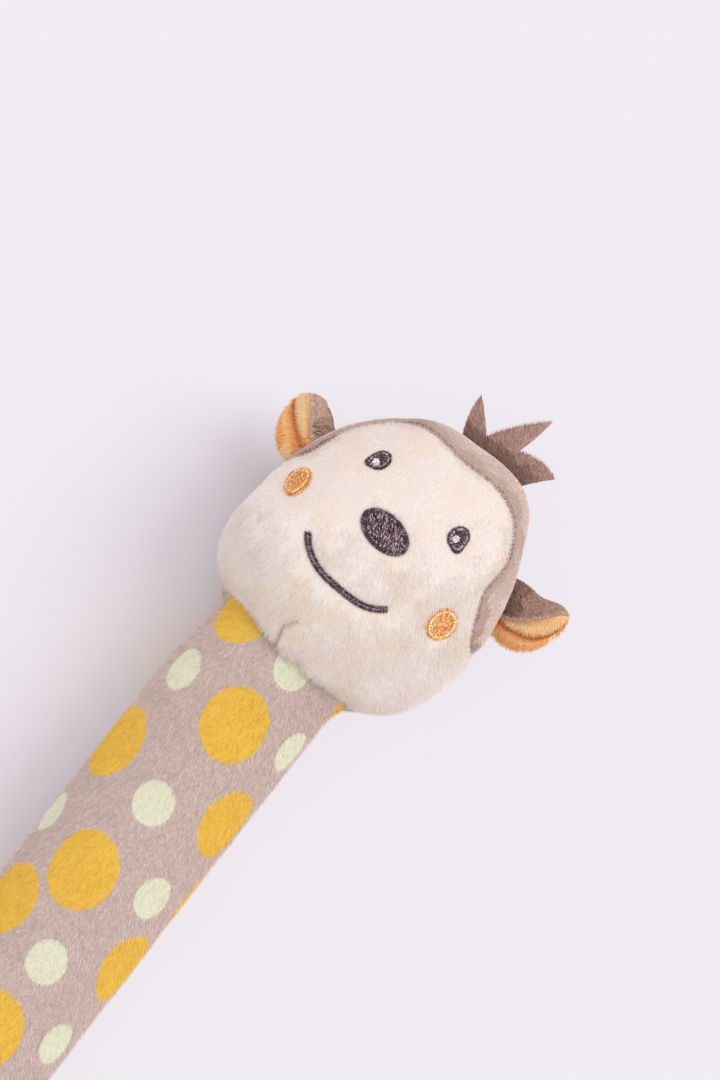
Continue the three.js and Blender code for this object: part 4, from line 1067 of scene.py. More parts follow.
cream_ground = pile_ground("cream_cloth", colour(*CREAM), colour(236, 210, 197))[0]
padded_cloth("face_cloth", face, cream_ground, "face_panel", "head")
padded_cloth("hood_cloth", hood, taupe_ground, "hood_band", "head")
padded_cloth("back_left_cloth", back_left, taupe_ground, "head_back_left", "head")
padded_cloth("back_right_cloth", back_right, taupe_ground, "head_back_right", "head")

# The embroidery: satin stitches in plum, white and orange thread through the face, over a thin pad. A nose,
# a mouth in two rows, eyes with a white highlight, and a spot on each cheek, each with its outline sewn on.
GLINT_SIZE = 2.3
STITCH = 0.3  # how wide one stitch of thread is
THREAD_ROUGHNESS, THREAD_SPECULAR = 0.62, 0.3  # of a thread with no gloss
# A pad's rings: how far each is from its middle to its edge, and its share of the pad's height
PAD_RINGS = [
    (0.02, 1.0), (0.3, 0.97), (0.6, 0.85), (0.82, 0.62), (0.94, 0.34), (1.0, 0.0), (0.97, -0.9), (0.5, -1.0),
    (0.02, -1.0),
]
# The same across the mouth's pad
STRIP_LINES = [(-1.0, 0.0), (-0.75, 0.7), (0.0, 1.0), (0.75, 0.7), (1.0, 0.0), (0.9, -1.0), (-0.9, -1.0)]
# Each thread's tones, from its shadowed side to where it shines
PLUM = [(62, 44, 52), (92, 70, 78), (150, 122, 130), (212, 186, 194)]
DARK_PLUM = [(56, 38, 46), (74, 52, 60), (96, 74, 82), (150, 124, 132)]
LILAC = [(104, 82, 90), (142, 114, 122), (180, 154, 162), (216, 194, 202)]
ORANGE = [(230, 142, 66), (250, 174, 94), (255, 204, 130), (255, 236, 186)]
AMBER = [(248, 186, 104), (255, 208, 132), (255, 226, 164), (255, 240, 196)]
WHITE = [(220, 214, 220), (236, 232, 236), (248, 246, 250), (255, 255, 255)]


def face_height(x, y):
    """The smooth face's height at a place."""
    middle, width, front, back, power = head_section(y)
    cosine = signed_power(np.clip((x - middle) / width, -1, 1), power / 2)
    return (front + back) / 2 + (front - back) / 2 * np.sqrt(1 - cosine**2) ** (2 / power)


def on_face(places, above=0.0):
    """Points over the stuffed face at places in its plan, and its normals there, in the row's frame."""
    x, y = np.asarray(places, float).T
    step = 0.2
    skin = np.column_stack([x, y, face_height(x, y)])
    slope_x = (face_height(x + step, y) - face_height(x - step, y)) / (2 * step)
    slope_y = (face_height(x, y + step) - face_height(x, y - step)) / (2 * step)
    normal = direction(np.column_stack([-slope_x, -slope_y, np.ones_like(x)]))
    out = head_relief(skin, face_side(skin)[0]) + above
    return to_row(skin + normal * out[:, None]), normal @ head_axes


def thread_look(name, tones, gloss):
    """Looks of one thread in its tones."""
    named = [(f"{name}_{k + 1}", colour(*tone)) for k, tone in enumerate(tones)]
    shine = {"roughness": THREAD_ROUGHNESS - gloss, "specular": THREAD_SPECULAR + gloss}
    return [finish(look, tint, **shine)[0] for look, tint in named]


threads = {
    "plum": thread_look("plum_thread", PLUM, 0.12),
    "dark plum": thread_look("dark_plum_thread", DARK_PLUM, 0.12),
    "lilac": thread_look("lilac_thread", LILAC, 0.12),
    "orange": thread_look("orange_thread", ORANGE, 0.2),
    "amber": thread_look("amber_thread", AMBER, 0.2),
    "white": thread_look("white_thread", WHITE, 0.15),
}


def stitch_tree(name, looks):
    """Nodes that lay a stitch of thread along each point's direction, and give it a tint."""
    nodes, given = shape_nodes(name)
    along, up, size = (stored(nodes, value, "FLOAT_VECTOR") for value in ("along", "up", "size"))
    values = {"Primary Axis": along, "Secondary Axis": up}
    rotation = nodes.add("FunctionNodeAxesToRotation", {"primary_axis": "X", "secondary_axis": "Z"}, values)
    thread = nodes.add("GeometryNodeMeshUVSphere", {}, {"Segments": 6, "Rings": 5, "Radius": 0.5})
    thread = nodes.add("GeometryNodeTransform", {}, {"Geometry": thread, "Rotation": (0, math.pi / 2, 0)})
    values = {0: 0.0, 1: 1.0, "Seed": given.output("Seed")}
    tint = nodes.add("FunctionNodeRandomValue", {"data_type": "FLOAT"}, values)
    values = {"Points": given.output("Geometry"), "Instance": thread, "Rotation": rotation, "Scale": size}
    nodes.add("NodeGroupOutput", {}, {0: tinted(nodes, set_on_points(nodes, values, tint), looks)})
    return nodes.tree


rng = np.random.default_rng(7)


def sewn_row(line, closed, width, above, spacing=STITCH, slant=0.25):
    """Satin stitches across a line: (place, direction, length, height above the face) for each."""
    even = evenly(np.vstack([line, line[:1]]), spacing)[:-1] if closed else evenly(line, spacing)
    first, last = (even[-1:], even[:1]) if closed else (even[:1], even[-1:])
    along = np.vstack([even[1:], last]) - np.vstack([first, even[:-1]])
    along /= np.maximum(np.linalg.norm(along, axis=1, keepdims=True), 1e-9)
    across = np.column_stack([-along[:, 1], along[:, 0]]) + slant * along
    across += rng.normal(0, 0.08, across.shape)
    length = width * rng.uniform(0.85, 1.2, len(even))
    return [(p, d, n, above) for p, d, n in zip(even + rng.normal(0, 0.03, even.shape), across, length)]


def sewn_fill(outline, inset, above, length=1.5, turn=0.0, spacing=STITCH * 0.85):
    """Rows of short stitches that fill an outline up to an inset."""
    low, high = outline.min(0), outline.max(0)
    centre = (low + high) / 2
    reach = float(np.linalg.norm(high - low)) / 2
    way = np.array([math.cos(turn), math.sin(turn)])
    side = np.array([-way[1], way[0]])
    made = []
    for v in np.arange(-reach, reach, spacing):
        start = -reach + rng.uniform(0, length)
        for u in np.arange(start, reach, length * 0.92):
            p = centre + way * (u + rng.normal(0, 0.1)) + side * (v + rng.normal(0, 0.04))
            if inside_of(outline, p[None])[0] and nearest_on(outline, p[None], True)[0][0] > inset:
                lean, size = way + rng.normal(0, 0.12, 2), length * rng.uniform(0.7, 1.15)
                made.append((p, lean, size, above + rng.normal(0, 0.05)))
    return made


def embroider(name, stitches, thread, seed, thick=STITCH):
    """A piece of stitches on the face."""
    places, ways, lengths, heights = (np.array(part) for part in zip(*stitches))
    points, normals = on_face(places, heights)
    along = direction(on_face(places + 0.1 * ways, heights)[0] - points)
    sizes = np.array([[length, thick * 1.25, thick * 1.1] for length in lengths]) * MM
    values = {"along": along, "up": normals, "size": sizes}
    cloud = Cloth(points, np.zeros((0, 3)), values).piece(name + "_places", keep=values)
    made = through_nodes(name, cloud, stitch_tree(name, threads[thread]), {"Seed": seed})
    made.data.shade_smooth()
    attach(made, "head")


def pad(name, outline, thread, node, height):
    """The thin crowned pad under the stitches, which also gives the shadowed ground between them."""
    centre = outline.mean(0)
    rings = [on_face(centre + (outline - centre) * share, height * lift)[0] for share, lift in PAD_RINGS]
    count = len(outline)
    fan = np.column_stack([np.zeros(count - 2, int), np.arange(1, count - 1), np.arange(2, count)])
    faces = [grid_faces(len(rings), count), fan[:, ::-1], fan + (len(rings) - 1) * count]
    made = Cloth(np.concatenate(rings), np.concatenate(faces)[:, ::-1])
    put(made.piece(name, threads[thread][0]), node, "head")


def strip_pad(name, line, across, half, thread, node, height):
    """A crowned pad along a line, in the thread's darkest tone: painted shade on the ground between the
    stitches.
    """
    loops = [on_face(line + across * half * share, height * lift)[0] for share, lift in STRIP_LINES]
    count = len(STRIP_LINES)
    last = (len(line) - 1) * count
    caps = [(0, k, k + 1) for k in range(1, count - 1)]
    caps += [(last, last + k + 1, last + k) for k in range(1, count - 1)]
    faces = np.concatenate([grid_faces(len(line), count), np.array(caps)[:, ::-1]])
    made = Cloth(np.array(loops).transpose(1, 0, 2).reshape(-1, 3), faces)
    put(made.piece(name, threads[thread][0]), node, "head")


def nose_oval(smaller):
    return oval(on_plan(NOSE_AT), np.array(NOSE_SIZE) - smaller)


pad("nose_pad", outlines["nose"], "plum", "nose", height=0.7)
stitches = sewn_row(nose_oval(0.9), True, width=1.15, above=0.5, spacing=0.25)
embroider("nose_ring_thread", stitches, "dark plum", seed=41, thick=0.27)
stitches = sewn_row(nose_oval(2.4), True, width=0.5, above=0.8, spacing=0.36, slant=0.8)
stitches += sewn_fill(nose_oval(3.1), 0.05, above=0.8, length=0.75, turn=2.36, spacing=0.24)
embroider("nose_thread", stitches, "plum", seed=40, thick=0.23)

strip_pad("mouth_pad", mouth_line, mouth_across, mouth_half, "plum", "mouth", height=0.5)
stitches = []
for offset in (0.52, -0.52):
    row = mouth_line + mouth_across * offset
    stitches += sewn_row(row, False, width=1.1, above=0.5, spacing=STITCH * 0.9, slant=0.5)
embroider("mouth_thread", stitches, "dark plum", seed=38, thick=0.26)
# A row of lilac stitches along the mouth's middle: painted highlight on the two dark rows.
stitches = sewn_row(mouth_line, False, width=0.5, above=0.66, spacing=0.34, slant=0.9)
embroider("mouth_highlight_thread", stitches, "lilac", seed=39, thick=0.18)

for k, (name, eye) in enumerate(EYES.items()):
    pad(name + "_pad", outlines[name], "plum", name, height=0.5)
    stitches = sewn_row(eye_oval(eye, 0.3), True, width=0.75, above=0.3)
    stitches += sewn_row(eye_oval(eye, 3.1), True, width=0.7, above=0.5)
    embroider(name + "_ring_thread", stitches, "dark plum", seed=42 + k, thick=0.24)
    stitches = sewn_row(eye_oval(eye, 1.6), True, width=0.8, above=0.5, spacing=0.27)
    embroider(name + "_thread", stitches, "lilac", seed=44 + k, thick=0.24)
    glint = oval(on_plan(eye["at"]) + eye["glint"], (GLINT_SIZE, GLINT_SIZE), 24)
    pad(name + "_glint_pad", glint, "white", name + "_glint", height=0.9)
    stitches = sewn_fill(glint, 0.25, above=1.0, length=1.1, turn=0.8)
    embroider(name + "_glint_thread", stitches, "white", seed=46 + k)

for k, (name, cheek) in enumerate(CHEEKS.items()):
    centre, size = on_plan(cheek["at"]), np.array(cheek["size"])
    pad(name + "_pad", outlines[name], "orange", name, height=0.55)
    stitches = sewn_row(oval(centre, size - 0.4), True, width=0.8, above=0.3, spacing=0.34)
    stitches += sewn_fill(oval(centre, size - 2.6), 0.05, above=0.6, length=0.8, turn=2.36, spacing=0.25)
    embroider(name + "_thread", stitches, "orange", seed=47 + k, thick=0.25)
    stitches = sewn_row(oval(centre, size - 1.9), True, width=0.95, above=0.62, spacing=0.27)
    embroider(name + "_outline_thread", stitches, "amber", seed=49 + k, thick=0.28)

# The pile of the head's covers: the face's keeps off the embroidery, lies flat, is short along the seam,
# hangs over the neck's rim, and is darker in the chin's crease as painted shade. The hood's pile darkens
# towards the seam as painted shade, and the seam is edged with dark ticks of fibre, painted shadow between
# tufts.
CREAM_WARM, CREAM_COOL, CREASE_SHADE = (247, 234, 224), (250, 241, 239), (234, 208, 198)
CREAM_STEPS = (0.97, 1.03, 1.1)
HOOD, HOOD_SHADE, HOOD_SEAM_SHADOW, HOOD_TICK_SHADOW = (236, 213, 204), (206, 178, 166), (166, 132, 120), (124, 92, 82)
FACE_HALVES_AT = 44.0  # where the face's pile is split into two pieces
SEAM_PILE = 0.9  # how wide the short pile along the seam is
CREASE_FROM = 9.5

plan = np.column_stack([face.values["x"], face.values["y"]])
clear = off_embroidery(plan) + 0.1
places = np.column_stack([face.points[:, :2] / MM, 0 * clear])
for value, tone, size, seed in (("warm", 0.1, 9.0, 15), ("cool", 0.35, 12.0, 16)):
    face.values[value] = lumps(places, size, seed) + 0.5 * lumps(places, 1.3, seed + 4) - tone
# Painted shade in the chin's crease: the fibres there are darker.
in_crease_shade = 0.4 - nearest_on(crease_line, plan, closed=False)[0]
face.values["crease"] = np.where(face.values["level"] > CREASE_FROM, in_crease_shade, -1.0)
cream_fibres = tints("cream", CREAM, CREAM_STEPS)
face_prints = [
    ("warm", tints("cream_warm", CREAM_WARM, CREAM_STEPS)),
    ("cool", tints("cream_cool", CREAM_COOL, CREAM_STEPS)),
    ("crease", tints("crease", CREASE_SHADE)),
]
face_above = face.values["y"] - FACE_HALVES_AT
off_seam = face.values["side"] - SEAM_PILE
for k, side in enumerate((1, -1)):
    part = face.cut(np.minimum(np.minimum(clear, off_seam), side * face_above))
    pile(
        f"face_pile_{k + 1}", part, "head", cream_fibres,
        density=8.0, length=2.0, width=0.24, lift=0.12, seed=51 + k,
        sway=0.9, scatter=0.11, patch=6.0, patchiness=1.4, prints=face_prints,
    )
pile(
    "face_seam_pile", face.cut(0.1 - off_seam), "head", cream_fibres,
    density=8.0, length=1.2, width=0.24, lift=0.3, seed=57,
)
face_rim = face.cut(NECK_RIM + 1.6 + 1.3 * lumps(face.points / MM, 3.0, 17) - face.values["level"])
pile(
    "face_rim_pile", face_rim, "head", cream_fibres,
    density=7.0, length=2.4, width=0.24, lift=0.25, seed=56, patchiness=1.4,
)
hood_fibres = tints("hood", HOOD, (0.86, 1.0, 1.16), 0.2)
hood_prints = [("shade", tints("hood_shade", HOOD_SHADE)), ("seam", tints("hood_seam_shadow", HOOD_SEAM_SHADOW))]
pile(
    "hood_pile", hood, "head", hood_fibres,
    density=7.0, length=1.4, width=0.24, lift=0.25, seed=53, prints=hood_prints,
)
# Dark ticks of fibre combed over the seam: painted shadow between the tufts.
shadow_ticks = hood.cut(hood.values["side"] + SEAM_PILE)
shadow_ticks.values["comb"] = -shadow_ticks.values["outward"] @ head_axes
pile(
    "hood_tick_shadow_pile", shadow_ticks, "head", tints("hood_tick_shadow", HOOD_TICK_SHADOW, (0.7, 1.0, 1.5)),
    density=3.2, length=1.1, width=0.36, lift=0.3, seed=58, scatter=0.4, patch=1.5,
)
for name, part, seed in (("back_left_pile", back_left, 54), ("back_right_pile", back_right, 55)):
    pile(
        name, part, "head", taupe_fibres,
        density=4.6, length=1.6, width=0.26, lift=0.3, seed=seed,
    )

# The ears: each a back of darker taupe pile cloth and a lining of apricot pile cloth, sewn round the edge,
# turned and sewn to the side seam with a fold. The lining makes two lobes with a deep crease between them,
# and the back folds over it.
EAR_WIDTH, EAR_THICKNESS, EAR_ROOT = 17.0, 9.6, 4.4
EAR_STATIONS = [0, 0.17, 0.34, 0.5, 0.67, 0.84, 0.95]
# Each ear's rails, as shares of its width along the root: its upper edge, the back's rim in front, the
# lining's crease, its lower edge and its tip, and how full it is
EARS = {
    "ear_right": {
        "side": -1,
        "sweep": -40.0,
        "length": 15.6,
        "top": [0.44, 0.49, 0.52, 0.52, 0.545, 0.45, 0.4],
        "rim": [0.03, 0.16, 0.25, 0.31, 0.36, 0.39, 0.38],
        "crease": [-0.17, -0.13, -0.08, -0.04, 0.0, 0.06, 0.14],
        "bottom": [-0.52, -0.52, -0.48, -0.42, -0.3, -0.1, 0.06],
        "full": [0.46, 0.82, 1, 1, 0.9, 0.66, 0.4],
        "tip": 0.32,
        "pale_edge": 3.2,
    },
    "ear_left": {
        "side": 1,
        "sweep": 6.0,
        "length": 17.0,
        "top": [0.58, 0.56, 0.51, 0.48, 0.5, 0.51, 0.46],
        "rim": [-0.11, -0.08, -0.02, 0.06, 0.2, 0.35, 0.43],
        "crease": [-0.13, -0.19, -0.21, -0.21, -0.16, -0.02, 0.14],
        "bottom": [-0.43, -0.49, -0.49, -0.45, -0.36, -0.17, 0.08],
        "full": [0.46, 0.82, 1, 1, 0.9, 0.66, 0.36],
        "tip": 0.36,
        "pale_edge": 3.0,
    },
}
EAR_BACK = {"ear_right": (206, 172, 157), "ear_left": (188, 152, 139)}
EAR_ROOT_SHADE = {"ear_right": (140, 110, 98), "ear_left": (118, 88, 78)}
EAR_RIM_TONE = {"ear_right": (232, 205, 190), "ear_left": (226, 196, 184)}
APRICOT_PALE = (255, 225, 180)
APRICOT = (254, 196, 136)
APRICOT_SHADE = (246, 172, 110)
APRICOT_FOLD_SHADE = (234, 152, 92)
EAR_ROWS, EAR_COLUMNS = 34, 44
EAR_FOLD_HEIGHT = 0.22  # of the crease, as a share of the ear's fullness there
EAR_TUCK = 1.4  # how far the root goes into the head's side seam
# The back's fibres are darker near the root: painted shade where the ear goes into the head's seam.
EAR_ROOT_REACH, EAR_ROOT_RAGGED = 4.0, 3.0  # how far the dark fibres at the root go, and how unevenly
EAR_RIM_WIDTH = 1.2  # of the pale fibres along the back's rim
ORANGE_UP = 1.6  # how far the orange goes from the crease on the upper lobe
# The deep orange near the crease and at the root, and the darkest fibres in the crease, are painted shade.
DEEP_LOW, DEEP_UP = 1.3, 0.8  # how far the deep orange goes on either lobe, and at the root
DEEP_ROOT, DEEP_FADE = 1.8, 0.4
FOLD_WIDTH, FOLD_FADE = 0.6, 1.5  # of the darkest fibres in the crease, and of the shade under them
EAR_FLATNESS = 0.7
EAR_BACK_REACH = {"ear_right": 0.9, "ear_left": 0.97}  # the lining rolls over the tip beyond the back


def drawn_in(points, middle, distance):
    """Points of a section moved towards its middle."""
    points = np.array(points, float)
    share = distance / np.maximum(np.hypot(points[:, 0] - middle, points[:, 1]), 1e-6)
    return points + (np.array([middle, 0.0]) - points) * share[:, None]


def ear_section(ear, share):
    """An ear's section at a share of its length, as lines of (y, z) points: the back's outer side, the
    lining's front, the back's inner side and the lining's back. The last value is the crease's place among
    the points of the lining's front."""
    rails = [np.interp(share, EAR_STATIONS, ear[rail]) for rail in ("top", "rim", "crease", "bottom")]
    top, rim, crease, bottom = (rail * EAR_WIDTH for rail in rails)
    full = np.interp(share, EAR_STATIONS, ear["full"]) * EAR_THICKNESS / 2

    def between(a, b, part, high):
        return (a + (b - a) * part, high * full)

    outside = [
        (rim, full), between(rim, top, 0.55, 0.9), (top, 0),
        between(bottom, top, 0.66, -0.92), between(bottom, top, 0.3, -0.9), between(bottom, top, 0.07, -0.5),
    ]
    middle = (bottom + top) / 2
    cover = min(1.3, 0.3 * full)
    edge = drawn_in(outside, middle, cover + min(0.45, 0.22 * full))
    fold = (crease, EAR_FOLD_HEIGHT * full)
    lobes = [
        edge[-1], between(bottom, top, 0.01, -0.12), between(bottom, crease, 0.42, 0.72), fold,
        between(crease, rim, 0.45, 0.82), edge[0],
    ]
    corners = (outside, lobes, drawn_in(outside, middle, cover), edge)
    sides = [evenly(smooth_line(points, 14), count=EAR_COLUMNS) for points in corners]
    return *sides, int(np.argmin(np.hypot(sides[1][:, 0] - fold[0], sides[1][:, 1] - fold[1])))


def ear_rows(ear):
    """An ear's stations: x, share of the rails, and how much its section is flattened and narrowed."""
    sunk = (0.985, 0.85, 0.6, 0.3)
    root = [(-0.5 * EAR_ROOT * part, 0.0, math.sqrt(1 - part * part), 1.0) for part in sunk]
    rows = [(share * ear["length"], share, 1.0, 1.0) for share in np.linspace(0, 0.9, EAR_ROWS)]
    tip = []
    for turn in np.linspace(0, math.pi / 2, 9)[1:]:
        size = max(0.03, math.cos(turn))
        tip.append(((0.9 + 0.1 * math.sin(turn)) * ear["length"], 0.9 + 0.05 * math.sin(turn), size, size))
    return root + rows + tip


def ear_grid(ear, lines, rows, reach):
    """The points of an ear's lines at its stations. A reach under 1 ends it short of the tip."""
    points = []
    for line, (x, share, flat_share, drawn) in zip(lines, rows):
        y = ear["tip"] * EAR_WIDTH + (line[:, 0] - ear["tip"] * EAR_WIDTH) * drawn
        points.append(np.column_stack([np.full(len(line), x * reach), y, line[:, 1] * flat_share]))
    return np.array(points)


def lofted(rings):
    """A closed body through rings of points, with a flat cap on the first and the last."""
    rows, columns = rings.shape[:2]
    points = rings.reshape(-1, 3)
    triangles = [grid_faces(rows, columns)]
    for row in (0, rows - 1):
        cap = np.array(tessellate_polygon([[Vector(p) for p in rings[row]]])) + row * columns
        a, b, c = (points[cap[:, k]] for k in range(3))
        facing = np.cross(b - a, c - a)[:, 0].sum() > 0
        triangles.append(cap if facing == (row > 0) else cap[:, ::-1])
    return points, np.concatenate(triangles)


def facing_away(cloth, inner):
    """The same cloth with its faces turned away from points behind it."""
    if np.einsum("ij,ij->i", cloth.normals(), cloth.points - inner).sum() < 0:
        cloth.triangles = cloth.triangles[:, ::-1]
    return cloth


def facing_out(cloth):
    """The same closed body with its faces turned outwards."""
    a, b, c = (cloth.points[cloth.triangles[:, k]] for k in range(3))
    if np.einsum("ij,ij->i", a, np.cross(b, c)).sum() < 0:
        cloth.triangles = cloth.triangles[:, ::-1]
    return cloth


# The lining's cloth darkens towards the crease: painted shade.
apricot_ground, nodes, shader = pile_ground("apricot_cloth", colour(*APRICOT), colour(*APRICOT_SHADE))
fold = nodes.add("ShaderNodeAttribute", {"attribute_name": "fold"}).output("Fac")
into(nodes, shader, "Base Color", nodes.mixed(fold, colour(*APRICOT), colour(*APRICOT_FOLD_SHADE)))
pale = tints("apricot_pale", APRICOT_PALE, (0.92, 1.06, 1.2))
orange = tints("apricot", APRICOT, (0.8, 1.0, 1.15))
deep_shade = tints("apricot_deep_shade", APRICOT_SHADE, (0.75, 1.0, 1.2))
fold_shade_fibres = tints("apricot_fold_shade", APRICOT_FOLD_SHADE, (0.7, 1.0, 1.3))
for k, (name, ear) in enumerate(EARS.items()):
    joint = joints[name + "_flap"]
    root_line = Vector(joint["axis"]).normalized()
    out = root_line.cross(Vector((0, 0, 1)))
    swept = Matrix.Rotation(math.radians(-ear["side"] * ear["sweep"]), 3, "Y")
    axes = np.array(Matrix((out, root_line, (0, 0, 1))))

    def placed(points):
        """Ear points in the row's frame."""
        points = (points.reshape(-1, 3) - [EAR_TUCK, 0, 0]) * [ear["side"], 1, 1]
        points = points @ np.array(swept).T
        return np.array(joint["pos_m"]) + (points @ axes) * MM

    stations = ear_rows(ear)
    sections = [ear_section(ear, share) for x, share, flat_share, drawn in stations]
    reaches = (EAR_BACK_REACH[name], 1.0, EAR_BACK_REACH[name], 1.0)
    *sides, crease_at = zip(*sections)
    grids = [ear_grid(ear, lines, stations, reach) for lines, reach in zip(sides, reaches)]
    outer, lobes, inner, behind = grids
    rows, columns = outer.shape[:2]
    from_crease = np.linalg.norm(lobes - lobes[np.arange(rows), crease_at][:, None], axis=2)
    ear_ground = pile_ground(name + "_cloth", colour(*EAR_BACK[name]), colour(*EAR_BACK[name], 0.7))[0]
    points, triangles = lofted(np.concatenate([outer, inner[:, ::-1]], axis=1))
    back = facing_out(Cloth(placed(points), triangles)).piece(name + "_back_cloth", ear_ground)
    put(back, name + "_back", name)
    points, triangles = lofted(np.concatenate([behind, lobes[:, 1:-1]], axis=1))
    fold = np.concatenate([0 * from_crease, np.exp(-from_crease[:, 1:-1] / FOLD_FADE)], axis=1).ravel()
    lining = facing_out(Cloth(placed(points), triangles, {"fold": fold}))
    lining = lining.piece(name + "_lining_cloth", apricot_ground, ["fold"])
    put(lining, name + "_lining", name)
    sweep = math.radians(ear["sweep"])
    outward = np.array(out) * ear["side"] * math.cos(sweep) + np.array([0, 0, math.sin(sweep)])
    x, along_root = outer[:, :, 0].ravel(), np.array(root_line)
    from_rim = np.linalg.norm(outer - outer[:, :1], axis=2).ravel()
    values = {
        "comb": np.tile(0.6 * outward - 0.6 * along_root, (rows * columns, 1)),
        "root": EAR_ROOT_REACH - x + EAR_ROOT_RAGGED * lumps(outer.reshape(-1, 3), 2.4, 21 + k),
        "rim": EAR_RIM_WIDTH - from_rim,
    }
    triangles = grid_faces(rows, columns, closed=False)
    back_skin = facing_away(Cloth(placed(outer), triangles, values), placed(inner))
    # Darker fibres near the root are painted shade.
    back_prints = [
        ("root", tints(name + "_root", EAR_ROOT_SHADE[name], (0.6, 1.0, 1.5))),
        ("rim", tints(name + "_rim", EAR_RIM_TONE[name], (0.8, 1.0, 1.25))),
    ]
    pile(
        name + "_back_pile", back_skin, name, tints(name, EAR_BACK[name], (0.65, 1.0, 1.4)),
        density=8.0, length=1.25, width=0.25, lift=0.45, seed=61 + k, flatness=EAR_FLATNESS,
        prints=back_prints,
    )
    x, off = lobes[:, :, 0].ravel(), from_crease.ravel()
    low = (np.arange(columns) < np.array(crease_at)[:, None]).ravel()
    from_edge = np.linalg.norm(lobes - lobes[:, :1], axis=2).ravel()
    in_orange = np.where(low, from_edge - ear["pale_edge"], ORANGE_UP - off)
    # Deep orange near the crease and towards the root: painted shade.
    in_deep_shade = np.where(low, DEEP_LOW, DEEP_UP) - off + np.clip(DEEP_ROOT - DEEP_FADE * x, 0, DEEP_ROOT)
    values = {
        "comb": np.tile(outward, (rows * columns, 1)) * 0.25 + along_root * np.where(low, -1, -0.8)[:, None],
        "orange": in_orange + 1.2 * lumps(lobes.reshape(-1, 3), 2.5, 23 + k),
        "deep_shade": in_deep_shade + 0.5 * lumps(lobes.reshape(-1, 3), 1.5, 25 + k),
        "fold": FOLD_WIDTH - off,
    }
    lining_skin = facing_away(Cloth(placed(lobes), triangles, values), placed(behind))
    pile(
        name + "_lining_pile", lining_skin, name, pale,
        density=8.0, length=1.5, width=0.24, lift=0.45, seed=63 + k, flatness=EAR_FLATNESS,
        prints=[("orange", orange), ("deep_shade", deep_shade), ("fold", fold_shade_fibres)],
    )

# The tuft: a flat piece of the darkest taupe pile cloth, cut to three points and sewn into the crown's seam.
# Its cut edges are crisp, and its pile is combed across the points.
TUFT_WIDTH, TUFT_HEIGHT = 20.8, 19.5
TUFT_HALF, TUFT_EDGE_HALF = 1.0, 0.55
TUFT_START = (-0.5, 0.0)
TUFT_CURVES = [
    ((-0.68, 0.35), (-0.67, 0.64)), ((-0.42, 0.42), (-0.26, 0.23)), ((-0.15, 0.55), (0.28, 1.0)),
    ((0.26, 0.65), (0.19, 0.38)), ((0.55, 0.53), (0.8, 0.41)), ((0.62, 0.2), (0.5, 0.0)),
]
TUFT_SHIFT = (0.8, -2.6)  # its root is inside the crown's seam
TUFT_STEP = (0.45, 0.52)  # between the points inside its outline
TUFT_CURL = 0.003  # on a millimetre
# Darker fibres and cloth at the root are painted shade where the tuft goes into the crown's seam.
TUFT_ROOT_REACH, TUFT_ROOT_RAGGED, TUFT_ROOT_FADE = 5.0, 2.0, 3.5  # of the darker fibres, and the shade
TUFT, TUFT_ROOT_SHADE = (192, 157, 148), (154, 120, 110)

outline = []
start = np.array(TUFT_START)
for via, end in TUFT_CURVES:
    via, end = np.array(via), np.array(end)
    for t in np.linspace(0, 1, 24, endpoint=False):
        outline.append((1 - t) ** 2 * start + 2 * t * (1 - t) * via + t * t * end)
    start = end
base_steps = np.linspace(0.5, -0.5, 30, endpoint=False)
outline += [np.array([s, -0.05]) for s in base_steps]
outline = np.array(outline) * [TUFT_WIDTH, TUFT_HEIGHT]
low, high = outline.min(0), outline.max(0)
filling = []
for i, u in enumerate(np.arange(low[0], high[0], TUFT_STEP[0])):
    stagger = TUFT_STEP[1] / 2 if i % 2 else 0.0
    filling += [(u, v + stagger) for v in np.arange(low[1], high[1], TUFT_STEP[1])]
filling = np.array(filling)
filling = filling[inside_of(outline, filling)]
filling = filling[nearest_on(outline, filling, True)[0] > 0.22]
flat_points = [Vector(p) for p in np.concatenate([outline, filling])]
border = [(i, (i + 1) % len(outline)) for i in range(len(outline))]
spread = delaunay_2d_cdt(flat_points, border, [], 1, 1e-5)
tuft_plan = np.array([tuple(p) for p in spread[0]])
tuft_triangles = np.array([t for t in spread[2] if len(t) == 3])
tuft_distance = nearest_on(outline, tuft_plan, True)[0]
tuft_high = TUFT_EDGE_HALF + (TUFT_HALF - TUFT_EDGE_HALF) * (1 - np.exp(-tuft_distance / 1.1))
tuft_lumps = lumps(np.column_stack([tuft_plan, 0 * tuft_distance]), 4.0, 9)
tuft_high += 0.12 * tuft_lumps * np.clip(tuft_distance, 0, 1)
joint = joints["tuft_bend"]
tuft_side = Vector(joint["axis"]).normalized()
tuft_up = Vector((0, 0, 1)).cross(tuft_side)
tuft_axes = np.array(Matrix((tuft_side, tuft_up, (0, 0, 1))))
# Its sides are one cloth each, joined along the cut edge
curl = TUFT_CURL * np.maximum(tuft_plan[:, 1], 0) ** 2
tuft_sides = []
for facing in (1, -1):
    local = np.column_stack([tuft_plan + TUFT_SHIFT, facing * tuft_high + curl])
    tuft_sides.append(np.array(joint["pos_m"]) + (local @ tuft_axes) * MM)
count = len(tuft_plan)
a, b, c = (tuft_plan[tuft_triangles[:, k]] for k in range(3))
area = (b[:, 0] - a[:, 0]) * (c[:, 1] - a[:, 1]) - (b[:, 1] - a[:, 1]) * (c[:, 0] - a[:, 0])
upwards = np.where((area > 0)[:, None], tuft_triangles, tuft_triangles[:, ::-1])
tuft_ground, nodes, shader = pile_ground("tuft_cloth", colour(*TUFT), colour(104, 76, 68))
